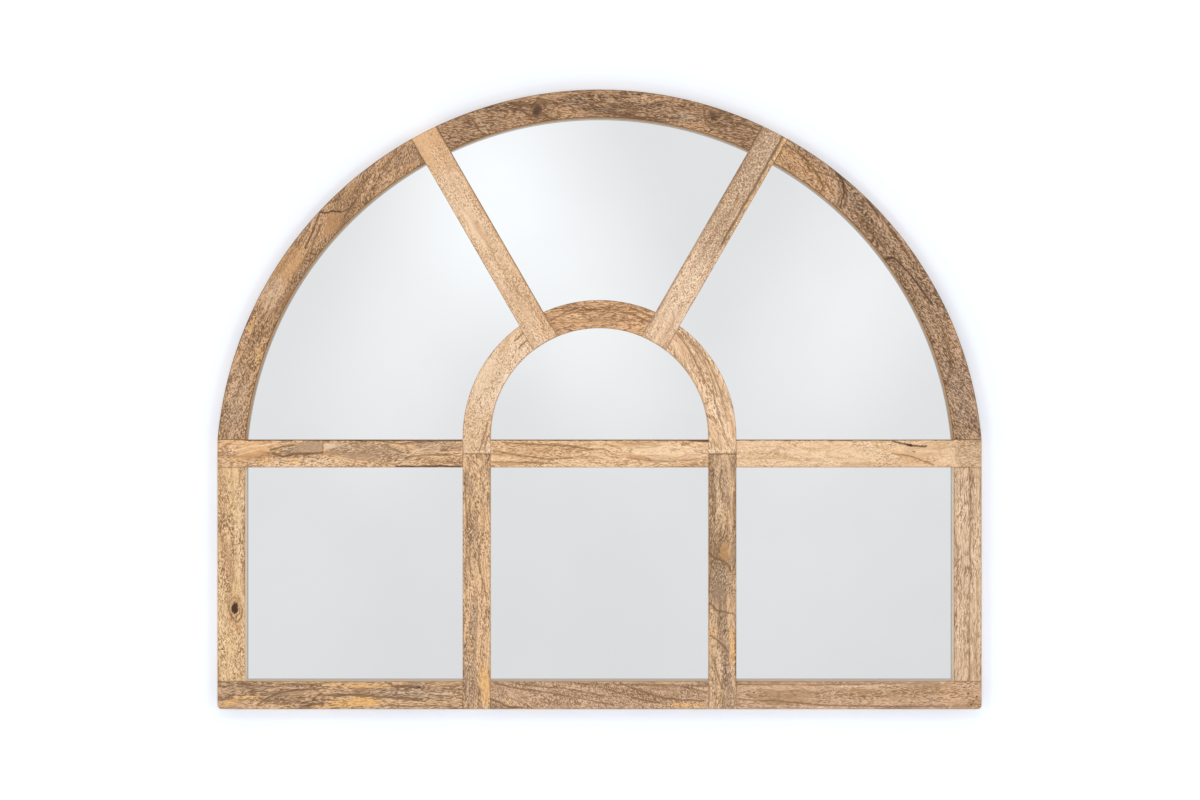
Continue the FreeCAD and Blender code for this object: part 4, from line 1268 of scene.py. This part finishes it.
class MIRROR_OT_studio(bpy.types.Operator):
    """Sets the camera, the wall, the floor and the lamps"""
    bl_idname = "mirror.studio"
    bl_label = "Studio"

    def execute(self, context):
        look = context.scene.studio
        context.scene.view_settings.view_transform = "Standard"
        add_camera(look)
        room_light(look)
        wall_y = CAD_BOX[1].y + look.wall_gap
        width = (2 * STAGE_REACH, 0, 0)
        corner = (-STAGE_REACH, wall_y, -look.floor_drop)
        wall = sheet_mesh("wall", corner, width, (0, 0, STAGE_REACH))
        wall.data.materials.append(white_paint("wall_paint", look.wall_gain, True))
        wall.visible_shadow = wall.visible_diffuse = False
        wall.visible_glossy = wall.visible_transmission = False
        corner = (-STAGE_REACH, -STAGE_REACH, -look.floor_drop)
        floor = sheet_mesh("floor", corner, width, (0, 2 * STAGE_REACH, 0))
        floor.data.materials.append(white_paint("floor_paint", look.wall_gain, False))
        floor.visible_glossy = False
        # a ring of four lamps, so that the frame has a narrow shadow on all sides
        middle = np.array((0, 0, PLAN.rail_top))
        aside = look.lamp_distance * math.sin(look.lamp_lean)
        ahead = look.lamp_distance * math.cos(look.lamp_lean)
        ways = {"left": (-aside, 0), "right": (aside, 0), "high": (0, aside), "low": (0, -aside)}
        for name, (x, z) in ways.items():
            place = middle + (x, -ahead, z)
            add_lamp("lamp_" + name, place, middle, look.lamp_size, look.lamp_power)
        add_lamp("back_lamp", BACK_LAMP_PLACE, middle, BACK_LAMP_SIZE, BACK_LAMP_POWER)
        return {"FINISHED"}


# ---- the add-on ----
class MIRROR_PT_finishes(bpy.types.Panel):
    """Lists the finishing steps in the sidebar"""
    bl_idname = "MIRROR_PT_finishes"
    bl_label = "Arched window mirror"
    bl_space_type = "VIEW_3D"
    bl_region_type = "UI"
    bl_category = "Mirror"

    def draw(self, context):
        for step in STEPS:
            self.layout.operator(step.bl_idname)
        for group in ("mango_wood", "silvered_glass", "back_finish", "studio"):
            settings = getattr(context.scene, group)
            box = self.layout.box()
            for name in type(settings).__annotations__:
                box.prop(settings, name)


STEPS = (MIRROR_OT_studio, MIRROR_OT_frame_members, MIRROR_OT_panes, MIRROR_OT_backboards,
         MIRROR_OT_dowels, MIRROR_OT_hangers, MIRROR_OT_wall_pads)
GROUPS = {"mango_wood": MangoWood, "silvered_glass": SilveredGlass,
          "back_finish": BackFinish, "studio": Studio}


def register():
    for group in GROUPS.values():
        bpy.utils.register_class(group)
    for name, group in GROUPS.items():
        setattr(bpy.types.Scene, name, bpy.props.PointerProperty(type=group))
    for step in (*STEPS, MIRROR_PT_finishes):
        bpy.utils.register_class(step)


def unregister():
    for step in reversed((*STEPS, MIRROR_PT_finishes)):
        bpy.utils.unregister_class(step)
    for name, group in GROUPS.items():
        delattr(bpy.types.Scene, name)
        bpy.utils.unregister_class(group)


def main():
    register()
    bpy.ops.mirror.studio()
    bpy.ops.mirror.frame_members()
    bpy.ops.mirror.panes()
    bpy.ops.mirror.backboards()
    bpy.ops.mirror.dowels()
    bpy.ops.mirror.hangers()
    bpy.ops.mirror.wall_pads()


if __name__ == "__main__":
    main()
